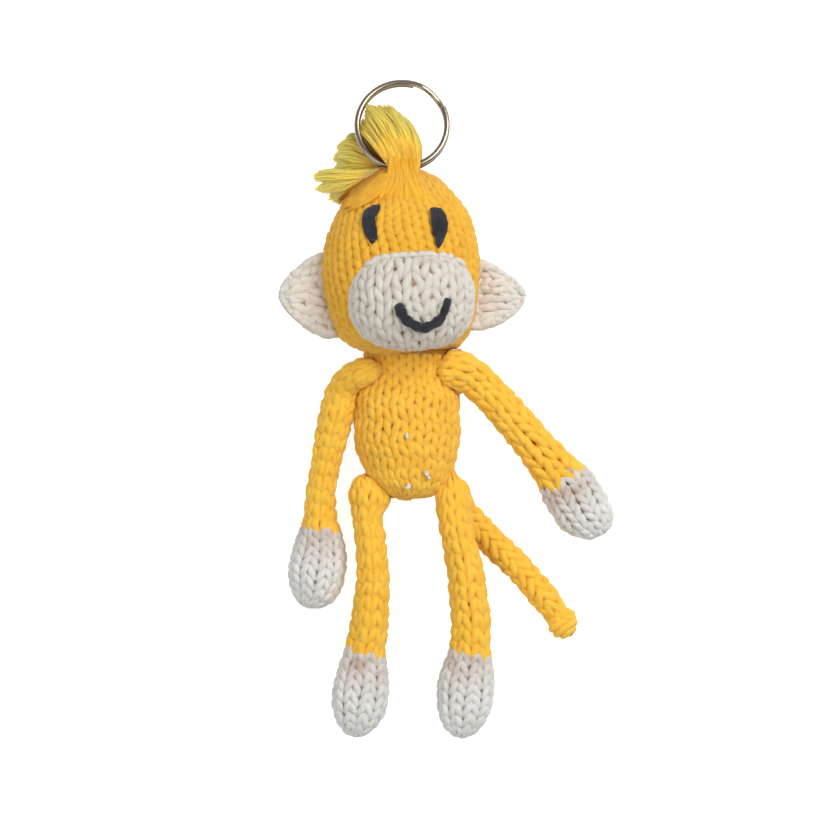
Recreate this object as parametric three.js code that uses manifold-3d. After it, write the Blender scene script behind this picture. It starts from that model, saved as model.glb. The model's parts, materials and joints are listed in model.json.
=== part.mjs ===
// A knitted toy monkey on a key ring, lying on its back with its face up.
// Lengths are in millimetres.
// +Z points up out of the face, +Y from the feet to the crown, +X to the viewer's right.
// The origin is on the flat of the back, under the middle of the torso.
// Left and right are the viewer's, looking down on the face.
import * as THREE from 'three';
import { mergeVertices } from 'three/addons/utils/BufferGeometryUtils.js';
import Module from 'manifold-3d';

const wasm = await Module();
wasm.setup();

// Sizes that every sewn or stuffed piece shares
const KNIT_WALL = 1.5;
const SEAM_GAP = 0.3;
const FLAT_DEPTH = 0.5;

// How finely the forms are drawn: rings along them, sides round them,
// and how far a face may stand off the true skin
const TORSO_DETAIL = { rings: 14, sides: 20 };
const HEAD_DETAIL = { rings: 17, sides: 22 };
const LIMB_DETAIL = { rings: 14, sides: 10 };
const TAIL_DETAIL = { rings: 14, sides: 8 };
const EAR_DETAIL = { rings: 10, sides: 10 };
const LOBE_DETAIL = { rings: 9, sides: 8 };
const BALL_DETAIL = { rings: 8, sides: 10 };
const DOME_DETAIL = { rings: 12, sides: 20 };
const BAR_SIDES = 14;
const HIDDEN_DETAIL = 0.6;
const SKIN_TOLERANCE = 0.1;
const SMALLEST = 0.25;

// Torso
const TORSO_LENGTH = 38.4;
const TORSO_WIDTH = 28.6;
const TORSO_DEPTH = 21;
const NECK_TO_ORIGIN = 18.3;
const NECK_RISE = 2;
const NECK_OPENING = 9;
const NECK_YARN = 1.9;
const NECK_YARN_RADIUS = 7.4;

// Head
const HEAD_LENGTH = 51.6;
const HEAD_WIDTH = 42;
const HEAD_DEPTH = 32;
const HEAD_LEAN = -1.3;
const CROWN_HEIGHT = 8.6;

// Muzzle, eyes and mouth
const MUZZLE_WIDTH = 34.4;
const MUZZLE_LENGTH = 27.4;
const MUZZLE_DEPTH = 30;
const MUZZLE_FROM_NECK = 14.9;
const MUZZLE_HEIGHT = 22.6;
const MUZZLE_SHIFT = 2.3;
const MUZZLE_SQUARENESS = 2.4;
const MUZZLE_WALL_BELOW = 2;
const EYE_WIDTH = 4.5;
const EYE_LENGTH = 9.9;
const EYE_RAISE = 0.9;
const EYE_SUNK = 0.6;
const EYE_SHIFT = 0.5;
const EYE_SPACING = 18.2;
const EYE_FROM_NECK = 34.3;
const MOUTH_WIDTH = 14;
const MOUTH_DROP = 5.8;
const MOUTH_YARN = 1.9;
const MOUTH_FROM_NECK = 13.6;
const MOUTH_SHIFT = 4.9;
const MOUTH_POINTS = 13;

// Ears
const EAR_LENGTH = 21.4;
const EAR_REACH = 12.1;
const EAR_THICKNESS = 5;
const EAR_FROM_NECK = 16.3;
const EAR_HEIGHT = 14;
const EAR_OUTSIDE = -0.6;
const EAR_LEAN = THREE.MathUtils.degToRad(7);

// Arms, each with a white hand at its end
const LEFT_ARM_LENGTH = 64;
const RIGHT_ARM_LENGTH = 57;
const HAND_WIDTH = 15.6;
const HAND_DEPTH = 12.4;
const LEFT_ARM_WIDTH = 8.4;
const RIGHT_ARM_WIDTH = 10.4;
const ARM_DEPTH = 8.2;
const SHOULDER_HEIGHT = 12;
const SHOULDER_BELOW_NECK = 3.7;
const SHOULDER_OUTSIDE = 0.9;
const LEFT_ARM_YELLOW = 0.67;
const RIGHT_ARM_YELLOW = 0.7;

// Legs, each with a white foot at its end
const HIP_BELOW_TORSO = 0.2;
const LEG_LENGTH = 63.2;
const LEG_WIDTH = 9.2;
const LEG_DEPTH = 8.6;
const FOOT_WIDTH = 15;
const FOOT_DEPTH = 13;
const HIP_WIDTH = 12.6;
const HIP_DEPTH = 8.8;
const HIP_CLEARANCE = 0.9;
const LEFT_HIP = -9.4;
const RIGHT_HIP = 12.6;
const LEG_YELLOW = 0.66;

// Tail
const TAIL_LENGTH = 55.4;
const TAIL_WIDTH = 7;
const TAIL_DEPTH = 6.4;
const TAIL_ROOT_X = 9;
const TAIL_INTO_TORSO = 1.6;

// Split ring, wound twice from one wire, and the loop of yarn that holds it
const RING_DIAMETER = 25.4;
const RING_WIRE_WIDTH = 1.6;
const RING_WIRE_HEIGHT = 1.2;
const RING_LAYER_GAP = 0.45;
const RING_TILT = THREE.MathUtils.degToRad(19);
const RING_STEP_AT = THREE.MathUtils.degToRad(50);
const RING_STEP_HALF = THREE.MathUtils.degToRad(16);
const RING_END_BACK = THREE.MathUtils.degToRad(24);
const RING_STEPS = 48;
const RING_SIDES = 6;
const LOOP_LENGTH = 9;
const LOOP_YARN = 2;
const LOOP_BORE = 5;
const LOOP_HEIGHT = 10.6;
const LOOP_BEFORE_TIP = 1.7;

// Tuft of combed fibre
const TUFT_DEPTH = 4.6;
const TUFT_LIFT = 0.3;
const TUFT_BELOW_LOOP = 1;
const TUFT_SIDE_START = 6.2;
const TUFT_FRINGE_HEIGHT = 4.4;
const TUFT_MAIN_LENGTH = 20;
const TUFT_MAIN_WIDTH = 15.6;
const TUFT_SIDE_LENGTH = 13;
const TUFT_SIDE_WIDTH = 10;
const TUFT_FRINGE_LENGTH = 17;
const TUFT_FRINGE_WIDTH = 13;

const V = (x, y, z) => new THREE.Vector3(x, y, z);
const UP = V(0, 0, 1);

// Turns a closed geometry into a solid that can be joined and cut
function solid(geometry) {
  const bare = geometry.clone();
  bare.deleteAttribute('normal');
  bare.deleteAttribute('uv');
  const merged = mergeVertices(bare, 1e-4);
  return new wasm.Manifold(new wasm.Mesh({
    numProp: 3,
    vertProperties: new Float32Array(merged.attributes.position.array),
    triVerts: new Uint32Array(merged.index.array),
  }));
}

// Turns a solid back into a geometry, with no more faces than its skin needs
function geometryOf(body) {
  const mesh = body.simplify(SKIN_TOLERANCE).getMesh();
  const geometry = new THREE.BufferGeometry();
  const places = new Float32Array(mesh.numVert * 3);
  for (let i = 0; i < mesh.numVert; i += 1) {
    places.set(mesh.vertProperties.subarray(i * mesh.numProp, i * mesh.numProp + 3), i * 3);
  }
  geometry.setAttribute('position', new THREE.BufferAttribute(places, 3));
  geometry.setIndex(new THREE.BufferAttribute(new Uint32Array(mesh.triVerts), 1));
  geometry.computeVertexNormals();
  return geometry;
}

// Rings of points joined side to side, with a point in the middle of each end
function skin(rings, firstTip, lastTip) {
  const sides = rings[0].length;
  const places = [firstTip, ...rings.flat(), lastTip].flatMap((p) => [p.x, p.y, p.z]);
  const corner = (ring, side) => 1 + ring * sides + (side % sides);
  const last = 1 + rings.length * sides;
  const faces = [];
  for (let side = 0; side < sides; side += 1) {
    faces.push(0, corner(0, side), corner(0, side + 1));
    faces.push(last, corner(rings.length - 1, side + 1), corner(rings.length - 1, side));
    for (let ring = 0; ring < rings.length - 1; ring += 1) {
      faces.push(corner(ring, side), corner(ring + 1, side + 1), corner(ring, side + 1));
      faces.push(corner(ring, side), corner(ring + 1, side), corner(ring + 1, side + 1));
    }
  }
  const geometry = new THREE.BufferGeometry();
  geometry.setAttribute('position', new THREE.Float32BufferAttribute(places, 3));
  geometry.setIndex(faces);
  return geometry;
}

// A place on a form's path, which runs on straight past either end
function along(form, distance) {
  const share = THREE.MathUtils.clamp(distance / form.length, 0, 1);
  const forward = form.path.getTangentAt(share);
  const place = form.path.getPointAt(share).addScaledVector(forward, distance - share * form.length);
  return { place, forward };
}

// The outline of a stuffed form: how wide and how deep it is, as shares of its full size, along its length
function outlineRows(form, rings) {
  const shape = form.outline.map(([s, wide, deep = wide]) => V(s, wide, deep));
  return new THREE.CatmullRomCurve3(shape, false, 'centripetal').getPoints(rings)
    .map((row) => V(row.x * form.length, row.y * form.halfWidth, row.z * form.halfDepth));
}

// A stuffed knitted form that swells and tapers along its path
// It can be taken in by a depth, or let out where that is below zero
// What is taken in is hidden inside a cover, so it has fewer faces
function stuffed(form, takeIn = 0) {
  const detail = takeIn > 0 ? HIDDEN_DETAIL : 1;
  const sides = Math.round(form.sides * detail);
  const rows = outlineRows(form, Math.round(form.rings * detail));
  const end = form.length - takeIn;
  const rings = [];
  let reached = takeIn;
  for (let i = 1; i < rows.length - 1; i += 1) {
    const run = rows[i + 1].clone().sub(rows[i - 1]);
    const wideSlope = V(run.x, run.y, 0).normalize();
    const deepSlope = V(run.x, run.z, 0).normalize();
    const distance = rows[i].x + takeIn * wideSlope.y;
    const wide = rows[i].y - takeIn * wideSlope.x;
    const deep = rows[i].z - takeIn * deepSlope.x;
    // Taking in a narrow end leaves rings that have passed each other or the tip: those go
    if (Math.min(wide, deep, distance - reached, end - distance) < SMALLEST) continue;
    reached = distance;
    const { place, forward } = along(form, distance);
    const across = forward.clone().cross(UP).normalize();
    const above = across.clone().cross(forward).normalize();
    rings.push(Array.from({ length: sides }, (_, side) => {
      const turn = (2 * Math.PI * side) / sides;
      return place.clone()
        .addScaledVector(across, wide * Math.cos(turn))
        .addScaledVector(above, deep * Math.sin(turn));
    }));
  }
  return solid(skin(rings, along(form, takeIn).place, along(form, end).place));
}

// The round root at the start of a limb's outline, which turns about the middle of the rounding
const ROOT_DEGREES = [0, 25, 50, 75];
function roundRoot(radius, length, widthShare, depthShare) {
  return ROOT_DEGREES.map((degrees) => {
    const turn = THREE.MathUtils.degToRad(degrees);
    const reach = (radius * (1 - Math.cos(turn))) / length;
    return [reach, widthShare * Math.sin(turn), depthShare * Math.sin(turn)];
  });
}

function ellipsoid(centre, halfX, halfY, halfZ) {
  const ball = new THREE.SphereGeometry(1, BALL_DETAIL.sides, BALL_DETAIL.rings);
  ball.scale(halfX, halfY, halfZ);
  ball.translate(centre.x, centre.y, centre.z);
  return solid(ball);
}

function roundBar(start, end, radius) {
  const bar = new THREE.CylinderGeometry(radius, radius, start.distanceTo(end), BAR_SIDES);
  const turn = new THREE.Quaternion().setFromUnitVectors(V(0, 1, 0), end.clone().sub(start).normalize());
  bar.applyQuaternion(turn);
  const middle = start.clone().lerp(end, 0.5);
  bar.translate(middle.x, middle.y, middle.z);
  return solid(bar);
}

// What is under the toy, which flattens every piece that lies on it
const BIG = 400;
const table = solid(new THREE.BoxGeometry(BIG, BIG, BIG).translate(0, 0, -BIG / 2));
const lying = (body) => body.subtract(table);

// The half of space past a point, in a direction
function beyond(place, direction) {
  const block = new THREE.BoxGeometry(BIG, BIG, BIG).translate(0, 0, BIG / 2);
  block.applyQuaternion(new THREE.Quaternion().setFromUnitVectors(UP, direction));
  return solid(block.translate(place.x, place.y, place.z));
}

// Torso form: flat on the table, rising a little to the neck
const torsoMiddle = TORSO_DEPTH / 2 - FLAT_DEPTH;
const neck = V(0, NECK_TO_ORIGIN, torsoMiddle + NECK_RISE);
const torsoForm = {
  ...TORSO_DETAIL,
  length: TORSO_LENGTH,
  halfWidth: TORSO_WIDTH / 2,
  halfDepth: TORSO_DEPTH / 2,
  path: new THREE.CatmullRomCurve3([
    neck,
    V(0, NECK_TO_ORIGIN - TORSO_LENGTH * 0.2, torsoMiddle),
    V(0, NECK_TO_ORIGIN - TORSO_LENGTH * 0.8, torsoMiddle),
    V(0, NECK_TO_ORIGIN - TORSO_LENGTH, torsoMiddle),
  ]),
  outline: [
    [0, 0], [0.01, 0.34], [0.04, 0.52], [0.09, 0.68], [0.16, 0.88], [0.25, 0.98], [0.36, 1],
    [0.6, 1], [0.75, 0.95], [0.86, 0.83], [0.94, 0.62], [0.985, 0.34], [1, 0],
  ],
};

// Head form: pear-shaped, widest at the ears, drawn together to a flat crown
const headStart = neck.clone().add(V(0, SEAM_GAP, 0));
const headMiddle = HEAD_DEPTH / 2 - FLAT_DEPTH;
const headForm = {
  ...HEAD_DETAIL,
  length: HEAD_LENGTH,
  halfWidth: HEAD_WIDTH / 2,
  halfDepth: HEAD_DEPTH / 2,
  path: new THREE.CatmullRomCurve3([
    headStart,
    V(0, headStart.y + HEAD_LENGTH * 0.06, THREE.MathUtils.lerp(neck.z, headMiddle, 0.06)),
    V(HEAD_LEAN, headStart.y + HEAD_LENGTH * 0.36, headMiddle),
    V(HEAD_LEAN, headStart.y + HEAD_LENGTH * 0.62, headMiddle),
    V(HEAD_LEAN, headStart.y + HEAD_LENGTH * 0.84, THREE.MathUtils.lerp(headMiddle, CROWN_HEIGHT, 0.59)),
    V(HEAD_LEAN, headStart.y + HEAD_LENGTH, CROWN_HEIGHT),
  ]),
  outline: [
    [0, 0, 0], [0.008, 0.33, 0.38], [0.03, 0.6, 0.6], [0.07, 0.78, 0.76], [0.13, 0.88, 0.87],
    [0.25, 0.94, 0.96], [0.38, 0.99, 1], [0.48, 1, 1], [0.6, 0.96, 0.95], [0.7, 0.87, 0.84],
    [0.78, 0.73, 0.68], [0.85, 0.57, 0.5], [0.91, 0.42, 0.34], [0.97, 0.27, 0.2], [1, 0, 0],
  ],
};

// The loop of yarn at the crown is a sleeve round the ring's wire, and the ring swings about its middle
const loopCentre = V(HEAD_LEAN, headStart.y + HEAD_LENGTH - LOOP_BEFORE_TIP, LOOP_HEIGHT);
const loopRadius = LOOP_BORE / 2 + LOOP_YARN;
const loopEnd = LOOP_LENGTH / 2 + SEAM_GAP;
const wireRadius = (RING_DIAMETER - RING_WIRE_WIDTH) / 2;
const wireReach = Math.hypot(RING_WIRE_WIDTH / 2, RING_WIRE_HEIGHT + RING_LAYER_GAP / 2);

function acrossLoop(reach, radius) {
  const beside = V(reach, 0, 0);
  return roundBar(loopCentre.clone().sub(beside), loopCentre.clone().add(beside), radius);
}

function loopRoom() {
  return acrossLoop(loopEnd, loopRadius + SEAM_GAP).add(acrossLoop(wireRadius, wireReach + SEAM_GAP));
}

// The yarn that gathers the neck lies in a groove between head and torso
function neckYarn(extra) {
  const yarn = new THREE.TorusGeometry(NECK_YARN_RADIUS, NECK_YARN / 2 + extra, 6, BAR_SIDES);
  yarn.rotateX(Math.PI / 2);
  return solid(yarn.translate(neck.x, neck.y + SEAM_GAP / 2, neck.z));
}

const neckHole = roundBar(
  V(neck.x, neck.y - KNIT_WALL * 3, neck.z),
  V(neck.x, neck.y + KNIT_WALL * 3, neck.z),
  NECK_OPENING / 2,
);

// A limb on a round root
// Its bends are in shares of its length from the root, with how far it has sunk there to its end's height
function limb(shape) {
  const { root, rootHalf, length, bends, endHeight, outline, width, depth, detail } = shape;
  const points = bends.map(([x, y, sunk]) => (
    V(root.x + x * length, root.y + y * length, THREE.MathUtils.lerp(root.z, endHeight, sunk))
  ));
  const start = points[1].clone().sub(points[0]).setZ(0).normalize();
  const path = new THREE.CatmullRomCurve3([root.clone().addScaledVector(start, -rootHalf.y), ...points]);
  const full = length + rootHalf.y;
  return {
    ...detail,
    length: path.getLength(),
    halfWidth: width / 2,
    halfDepth: depth / 2,
    path,
    root,
    rootHalf,
    outline: [
      ...roundRoot(rootHalf.y, full, (rootHalf.x * 2) / width, (rootHalf.z * 2) / depth),
      ...outline.map(([s, w, d]) => [(rootHalf.y + s * length) / full, w, d]),
    ],
  };
}

function rootBall(form, extra) {
  const half = form.rootHalf.clone().addScalar(extra);
  return ellipsoid(form.root, half.x, half.y, half.z);
}

const shoulderY = neck.y - SHOULDER_BELOW_NECK;
const shoulderX = TORSO_WIDTH / 2 + SHOULDER_OUTSIDE;
const handMiddle = HAND_DEPTH / 2 - FLAT_DEPTH;
const hand = { width: HAND_WIDTH, depth: HAND_DEPTH, detail: LIMB_DETAIL, endHeight: handMiddle };
const armDeep = ARM_DEPTH / HAND_DEPTH;

// The left arm hangs down beside the torso
const leftWide = LEFT_ARM_WIDTH / HAND_WIDTH;
const leftArm = limb({
  ...hand,
  root: V(-shoulderX, shoulderY, SHOULDER_HEIGHT),
  rootHalf: V(LEFT_ARM_WIDTH / 2, LEFT_ARM_WIDTH / 2, ARM_DEPTH / 2),
  length: LEFT_ARM_LENGTH,
  bends: [
    [0, 0, 0], [-0.062, -0.13, 0.1], [-0.08, -0.27, 0.25], [-0.105, -0.42, 0.48],
    [-0.128, -0.56, 0.7], [-0.126, -0.7, 0.92], [-0.142, -0.85, 1], [-0.19, -0.985, 1.1],
  ],
  outline: [
    [0.06, leftWide * 0.98, armDeep], [0.25, leftWide * 0.94, armDeep], [0.5, leftWide, armDeep],
    [0.62, leftWide * 1.08, armDeep * 1.02], [0.66, leftWide * 1.3, armDeep * 1.2], [0.72, 0.88, 0.88],
    [0.8, 1, 1], [0.88, 0.95, 0.94], [0.94, 0.74, 0.74], [0.985, 0.36, 0.36], [1, 0, 0],
  ],
});

// The right arm is flung out to the side
const rightWide = RIGHT_ARM_WIDTH / HAND_WIDTH;
const rightArm = limb({
  ...hand,
  root: V(shoulderX, shoulderY, SHOULDER_HEIGHT),
  rootHalf: V(RIGHT_ARM_WIDTH / 2, RIGHT_ARM_WIDTH / 2, ARM_DEPTH / 2),
  length: RIGHT_ARM_LENGTH,
  bends: [
    [0, 0, 0], [0.121, -0.112, 0.06], [0.225, -0.223, 0.25], [0.365, -0.39, 0.48],
    [0.45, -0.5, 0.73], [0.533, -0.628, 1], [0.584, -0.795, 1.1],
  ],
  outline: [
    [0.08, rightWide * 0.95, armDeep], [0.3, rightWide * 0.94, armDeep],
    [0.5, rightWide * 1.04, armDeep * 1.05], [0.62, rightWide * 1.16, armDeep * 1.15],
    [0.7, 0.95, 0.9], [0.8, 1, 1],
    [0.88, 0.95, 0.94], [0.94, 0.76, 0.76], [0.985, 0.4, 0.4], [1, 0, 0],
  ],
});

// The legs lie side by side, over the tail, and widen to the feet
const hipY = NECK_TO_ORIGIN - TORSO_LENGTH - HIP_BELOW_TORSO;
const hipHeight = TAIL_DEPTH - FLAT_DEPTH + HIP_CLEARANCE + HIP_DEPTH / 2;
const legWide = LEG_WIDTH / FOOT_WIDTH;
const legDeep = LEG_DEPTH / FOOT_DEPTH;
const legShape = {
  width: FOOT_WIDTH,
  depth: FOOT_DEPTH,
  detail: LIMB_DETAIL,
  length: LEG_LENGTH,
  rootHalf: V(HIP_WIDTH / 2, HIP_DEPTH / 2, HIP_DEPTH / 2),
  endHeight: FOOT_DEPTH / 2 - FLAT_DEPTH,
  outline: [
    [0.04, legWide * 1.06, legDeep * 0.98], [0.09, legWide * 0.86, legDeep * 0.92],
    [0.2, legWide * 0.88, legDeep * 0.94], [0.35, legWide * 0.96, legDeep],
    [0.5, legWide * 1.06, legDeep * 1.06], [0.62, legWide * 1.1, legDeep * 1.1],
    [0.68, 0.82, 0.8], [0.76, 0.98, 0.97], [0.84, 1, 1], [0.91, 0.9, 0.9],
    [0.96, 0.62, 0.62], [0.99, 0.3, 0.3], [1, 0, 0],
  ],
};
const leftLeg = limb({
  ...legShape,
  root: V(LEFT_HIP, hipY, hipHeight),
  bends: [
    [0, 0, 0], [-0.012, -0.08, 0], [0, -0.2, 0.08], [0.006, -0.4, 0.35],
    [-0.014, -0.55, 0.65], [-0.034, -0.69, 0.94], [-0.05, -0.84, 1], [-0.075, -0.985, 1.08],
  ],
});
const rightLeg = limb({
  ...legShape,
  root: V(RIGHT_HIP, hipY, hipHeight),
  bends: [
    [0, 0, 0], [0.006, -0.08, 0], [0.024, -0.2, 0.08], [0.056, -0.4, 0.35],
    [0.07, -0.56, 0.65], [0.052, -0.7, 0.94], [0.036, -0.84, 1], [0.036, -0.99, 1.08],
  ],
});

// The tail is a plain knitted cord that lies flat and passes under the right leg
const tailMiddle = TAIL_DEPTH / 2 - FLAT_DEPTH;
const tailForm = limb({
  width: TAIL_WIDTH,
  depth: TAIL_DEPTH,
  detail: TAIL_DETAIL,
  length: TAIL_LENGTH,
  rootHalf: V(TAIL_WIDTH / 2, TAIL_WIDTH / 2, TAIL_DEPTH / 2),
  endHeight: tailMiddle,
  root: V(TAIL_ROOT_X, hipY + TAIL_INTO_TORSO, tailMiddle),
  bends: [
    [0, 0, 0], [0.12, -0.095, 1], [0.229, -0.189, 1],
    [0.379, -0.345, 1], [0.483, -0.47, 1], [0.623, -0.657, 1],
  ],
  outline: [
    [0.08, 0.98, 1], [0.3, 0.98, 1], [0.6, 0.98, 1], [0.86, 0.96, 1],
    [0.92, 1.12, 1.06], [0.97, 0.9, 0.9], [1, 0, 0],
  ],
});

// Ears: a half disc that stands out from the side of the head and folds about its sewn edge
const EAR_OUTLINE = [
  [0, 0, 0], [0.03, 0.3, 0.45], [0.12, 0.64, 0.75], [0.28, 0.93, 0.95], [0.45, 1, 1],
  [0.64, 0.92, 0.97], [0.83, 0.62, 0.78], [0.96, 0.3, 0.48], [1, 0, 0],
];
function earForm(side) {
  const seamX = HEAD_LEAN + side * (HEAD_WIDTH / 2 + EAR_OUTSIDE);
  const seam = V(seamX, headStart.y + EAR_FROM_NECK, EAR_HEIGHT);
  const upward = V(side * Math.sin(EAR_LEAN), Math.cos(EAR_LEAN), 0);
  const outward = V(side * Math.cos(EAR_LEAN), -Math.sin(EAR_LEAN), 0);
  const bow = EAR_OUTLINE.filter((_, i) => i % 2 === 0).map(([s, wide]) => (
    seam.clone()
      .addScaledVector(upward, (s - 0.5) * EAR_LENGTH)
      .addScaledVector(outward, (wide * EAR_REACH) / 2)
  ));
  const path = new THREE.CatmullRomCurve3(bow);
  return {
    ...EAR_DETAIL,
    path,
    length: path.getLength(),
    halfWidth: EAR_REACH / 2,
    halfDepth: EAR_THICKNESS / 2,
    outline: EAR_OUTLINE,
  };
}

// Solids that cut their neighbours
const headWhole = stuffed(headForm);
const headRoom = stuffed(headForm, -SEAM_GAP);
const torsoWhole = stuffed(torsoForm);
const rooted = [leftArm, rightArm, leftLeg, rightLeg, tailForm];

function torsoCover() {
  const shell = torsoWhole.subtract(stuffed(torsoForm, KNIT_WALL));
  return lying(rooted.reduce(
    (cover, form) => cover.subtract(rootBall(form, SEAM_GAP)),
    shell.subtract(neckHole).subtract(neckYarn(SEAM_GAP)),
  ));
}

// What fills a cover stays clear of it, and of every limb's root that presses into it
function torsoFilling() {
  const belowNeck = beyond(V(0, neck.y - KNIT_WALL, 0), V(0, 1, 0));
  return rooted.reduce(
    (filling, form) => filling.subtract(rootBall(form, SEAM_GAP * 2)),
    stuffed(torsoForm, KNIT_WALL + SEAM_GAP).subtract(belowNeck),
  );
}

function headCover() {
  const hollow = stuffed(headForm, KNIT_WALL).subtract(loopRoomWithWall());
  return lying(
    headWhole.subtract(hollow).subtract(neckHole).subtract(neckYarn(SEAM_GAP)).subtract(loopRoom()),
  );
}

function loopRoomWithWall() {
  const crownWall = V(0, loopCentre.y - wireReach - SEAM_GAP - KNIT_WALL, 0);
  return acrossLoop(loopEnd + KNIT_WALL, loopRadius + SEAM_GAP + KNIT_WALL)
    .add(beyond(crownWall, V(0, 1, 0)));
}

function headFilling() {
  return stuffed(headForm, KNIT_WALL + SEAM_GAP)
    .subtract(beyond(V(0, loopCentre.y - loopRadius - SEAM_GAP * 2 - KNIT_WALL, 0), V(0, 1, 0)))
    .subtract(beyond(V(0, neck.y + KNIT_WALL + SEAM_GAP, 0), V(0, -1, 0)));
}

// A limb's skin at a depth, cut by the torso except where its own round root turns in its socket
function limbAt(form, takeIn) {
  const body = stuffed(form, takeIn);
  const keep = body.intersect(rootBall(form, -takeIn));
  return body.subtract(stuffed(torsoForm, -SEAM_GAP - takeIn)).add(keep);
}

function limbPieces(form, yellowShare) {
  const whole = limbAt(form, 0).subtract(limbAt(form, KNIT_WALL));
  const { place, forward } = along(form, form.length * yellowShare);
  const half = forward.clone().multiplyScalar(SEAM_GAP / 2);
  return {
    yellow: lying(whole.subtract(beyond(place.clone().sub(half), forward))),
    white: lying(whole.subtract(beyond(place.clone().add(half), forward.clone().negate()))),
    filling: lying(limbAt(form, KNIT_WALL + SEAM_GAP)),
  };
}

// Muzzle: a padded dome on the face
const muzzleCentre = V(HEAD_LEAN + MUZZLE_SHIFT, headStart.y + MUZZLE_FROM_NECK, MUZZLE_HEIGHT);
const muzzleHalf = V(MUZZLE_WIDTH / 2, MUZZLE_LENGTH / 2, MUZZLE_DEPTH / 2);

function muzzleAt(takeIn) {
  const dome = new THREE.SphereGeometry(1, DOME_DETAIL.sides, DOME_DETAIL.rings);
  const places = dome.attributes.position;
  for (let i = 0; i < places.count; i += 1) {
    const point = V(places.getX(i), places.getY(i), places.getZ(i));
    const reach = point.toArray().reduce((sum, part) => sum + Math.abs(part) ** MUZZLE_SQUARENESS, 0);
    point.multiplyScalar(reach ** (-1 / MUZZLE_SQUARENESS));
    places.setXYZ(i, point.x, point.y, point.z);
  }
  dome.scale(muzzleHalf.x - takeIn, muzzleHalf.y - takeIn, muzzleHalf.z - takeIn);
  dome.translate(muzzleCentre.x, muzzleCentre.y, muzzleCentre.z);
  return solid(dome).intersect(beyond(V(0, 0, muzzleCentre.z - MUZZLE_WALL_BELOW), UP));
}

const muzzleCover = muzzleAt(0).subtract(muzzleAt(KNIT_WALL)).subtract(headRoom);
const muzzleFilling = muzzleAt(KNIT_WALL + SEAM_GAP).subtract(headRoom);

// Where a line straight down meets a solid, and which way its skin faces there
const faceMesh = new THREE.Mesh(geometryOf(headWhole));
const muzzleMesh = new THREE.Mesh(geometryOf(muzzleAt(0)));
const caster = new THREE.Raycaster();
function skinAt(mesh, x, y) {
  caster.set(V(x, y, BIG), V(0, 0, -1));
  const hit = caster.intersectObject(mesh)[0];
  return { place: hit.point, normal: hit.face.normal };
}

// Eyes: satin stitch that stands a little proud of the face
function eye(side) {
  const x = HEAD_LEAN + EYE_SHIFT + (side * EYE_SPACING) / 2;
  const { place, normal } = skinAt(faceMesh, x, headStart.y + EYE_FROM_NECK);
  const lens = new THREE.SphereGeometry(1, BALL_DETAIL.sides, BALL_DETAIL.rings);
  lens.scale(EYE_WIDTH / 2, EYE_LENGTH / 2, EYE_RAISE + EYE_SUNK);
  lens.applyQuaternion(new THREE.Quaternion().setFromUnitVectors(UP, normal));
  const middle = place.clone().addScaledVector(normal, SEAM_GAP - EYE_SUNK);
  return solid(lens.translate(middle.x, middle.y, middle.z)).subtract(headRoom);
}

// Mouth: one line of back stitch in a deep smile
function mouth() {
  const middle = V(HEAD_LEAN + MOUTH_SHIFT, headStart.y + MOUTH_FROM_NECK, 0);
  const halfSmile = (MOUTH_WIDTH - MOUTH_YARN) / 2;
  const points = Array.from({ length: MOUTH_POINTS }, (_, i) => {
    const turn = Math.PI * (1 + i / (MOUTH_POINTS - 1));
    const x = middle.x + halfSmile * Math.cos(turn);
    const { place, normal } = skinAt(muzzleMesh, x, middle.y + MOUTH_DROP * Math.sin(turn));
    return place.clone().addScaledVector(normal, SEAM_GAP + MOUTH_YARN / 2);
  });
  const section = new THREE.Shape();
  section.absarc(0, 0, MOUTH_YARN / 2, 0, 2 * Math.PI);
  const extrudePath = new THREE.CatmullRomCurve3(points);
  return solid(new THREE.ExtrudeGeometry(section, { steps: MOUTH_POINTS, curveSegments: 3, extrudePath }))
    .subtract(muzzleAt(-SEAM_GAP));
}

// Split ring: two layers of one wire, with a short step from the lower layer to the upper
function splitRing() {
  const layer = RING_WIRE_HEIGHT + RING_LAYER_GAP;
  const stepAt = RING_STEP_AT + 2 * Math.PI;
  const start = RING_STEP_AT + RING_END_BACK;
  const sweep = 4 * Math.PI - 2 * RING_END_BACK;
  const cornerHeight = RING_WIRE_HEIGHT / 2 / Math.sin(Math.PI / 3);
  const turns = Array.from({ length: RING_STEPS + 1 }, (_, i) => start + (sweep * i) / RING_STEPS);
  const middles = turns.map((turn) => {
    const risen = THREE.MathUtils.smoothstep(turn, stepAt - RING_STEP_HALF, stepAt + RING_STEP_HALF) - 0.5;
    return V(wireRadius * Math.cos(turn), wireRadius * Math.sin(turn), risen * layer);
  });
  const rings = middles.map((middle, i) => Array.from({ length: RING_SIDES }, (_, side) => {
    const around = (2 * Math.PI * side) / RING_SIDES;
    const out = (Math.cos(around) * RING_WIRE_WIDTH) / 2;
    const above = Math.sin(around) * cornerHeight;
    return middle.clone().add(V(out * Math.cos(turns[i]), out * Math.sin(turns[i]), above));
  }));
  console.log(`split ring: least gap between its turns ${leastGap(middles, turns).toFixed(3)} mm`);
  return skin(rings, middles[0], middles[middles.length - 1]);
}

// The least gap between the ring's two turns, wire to wire, over all points more than half a turn apart
function leastGap(middles, turns) {
  let least = Infinity;
  middles.forEach((a, i) => middles.slice(i + 1).forEach((b, j) => {
    if (turns[i + 1 + j] - turns[i] < Math.PI) return;
    const high = Math.abs(a.z - b.z) - RING_WIRE_HEIGHT;
    const flat = Math.hypot(a.x - b.x, a.y - b.y) - RING_WIRE_WIDTH;
    least = Math.min(least, Math.max(high, flat));
  }));
  return least;
}

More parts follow.
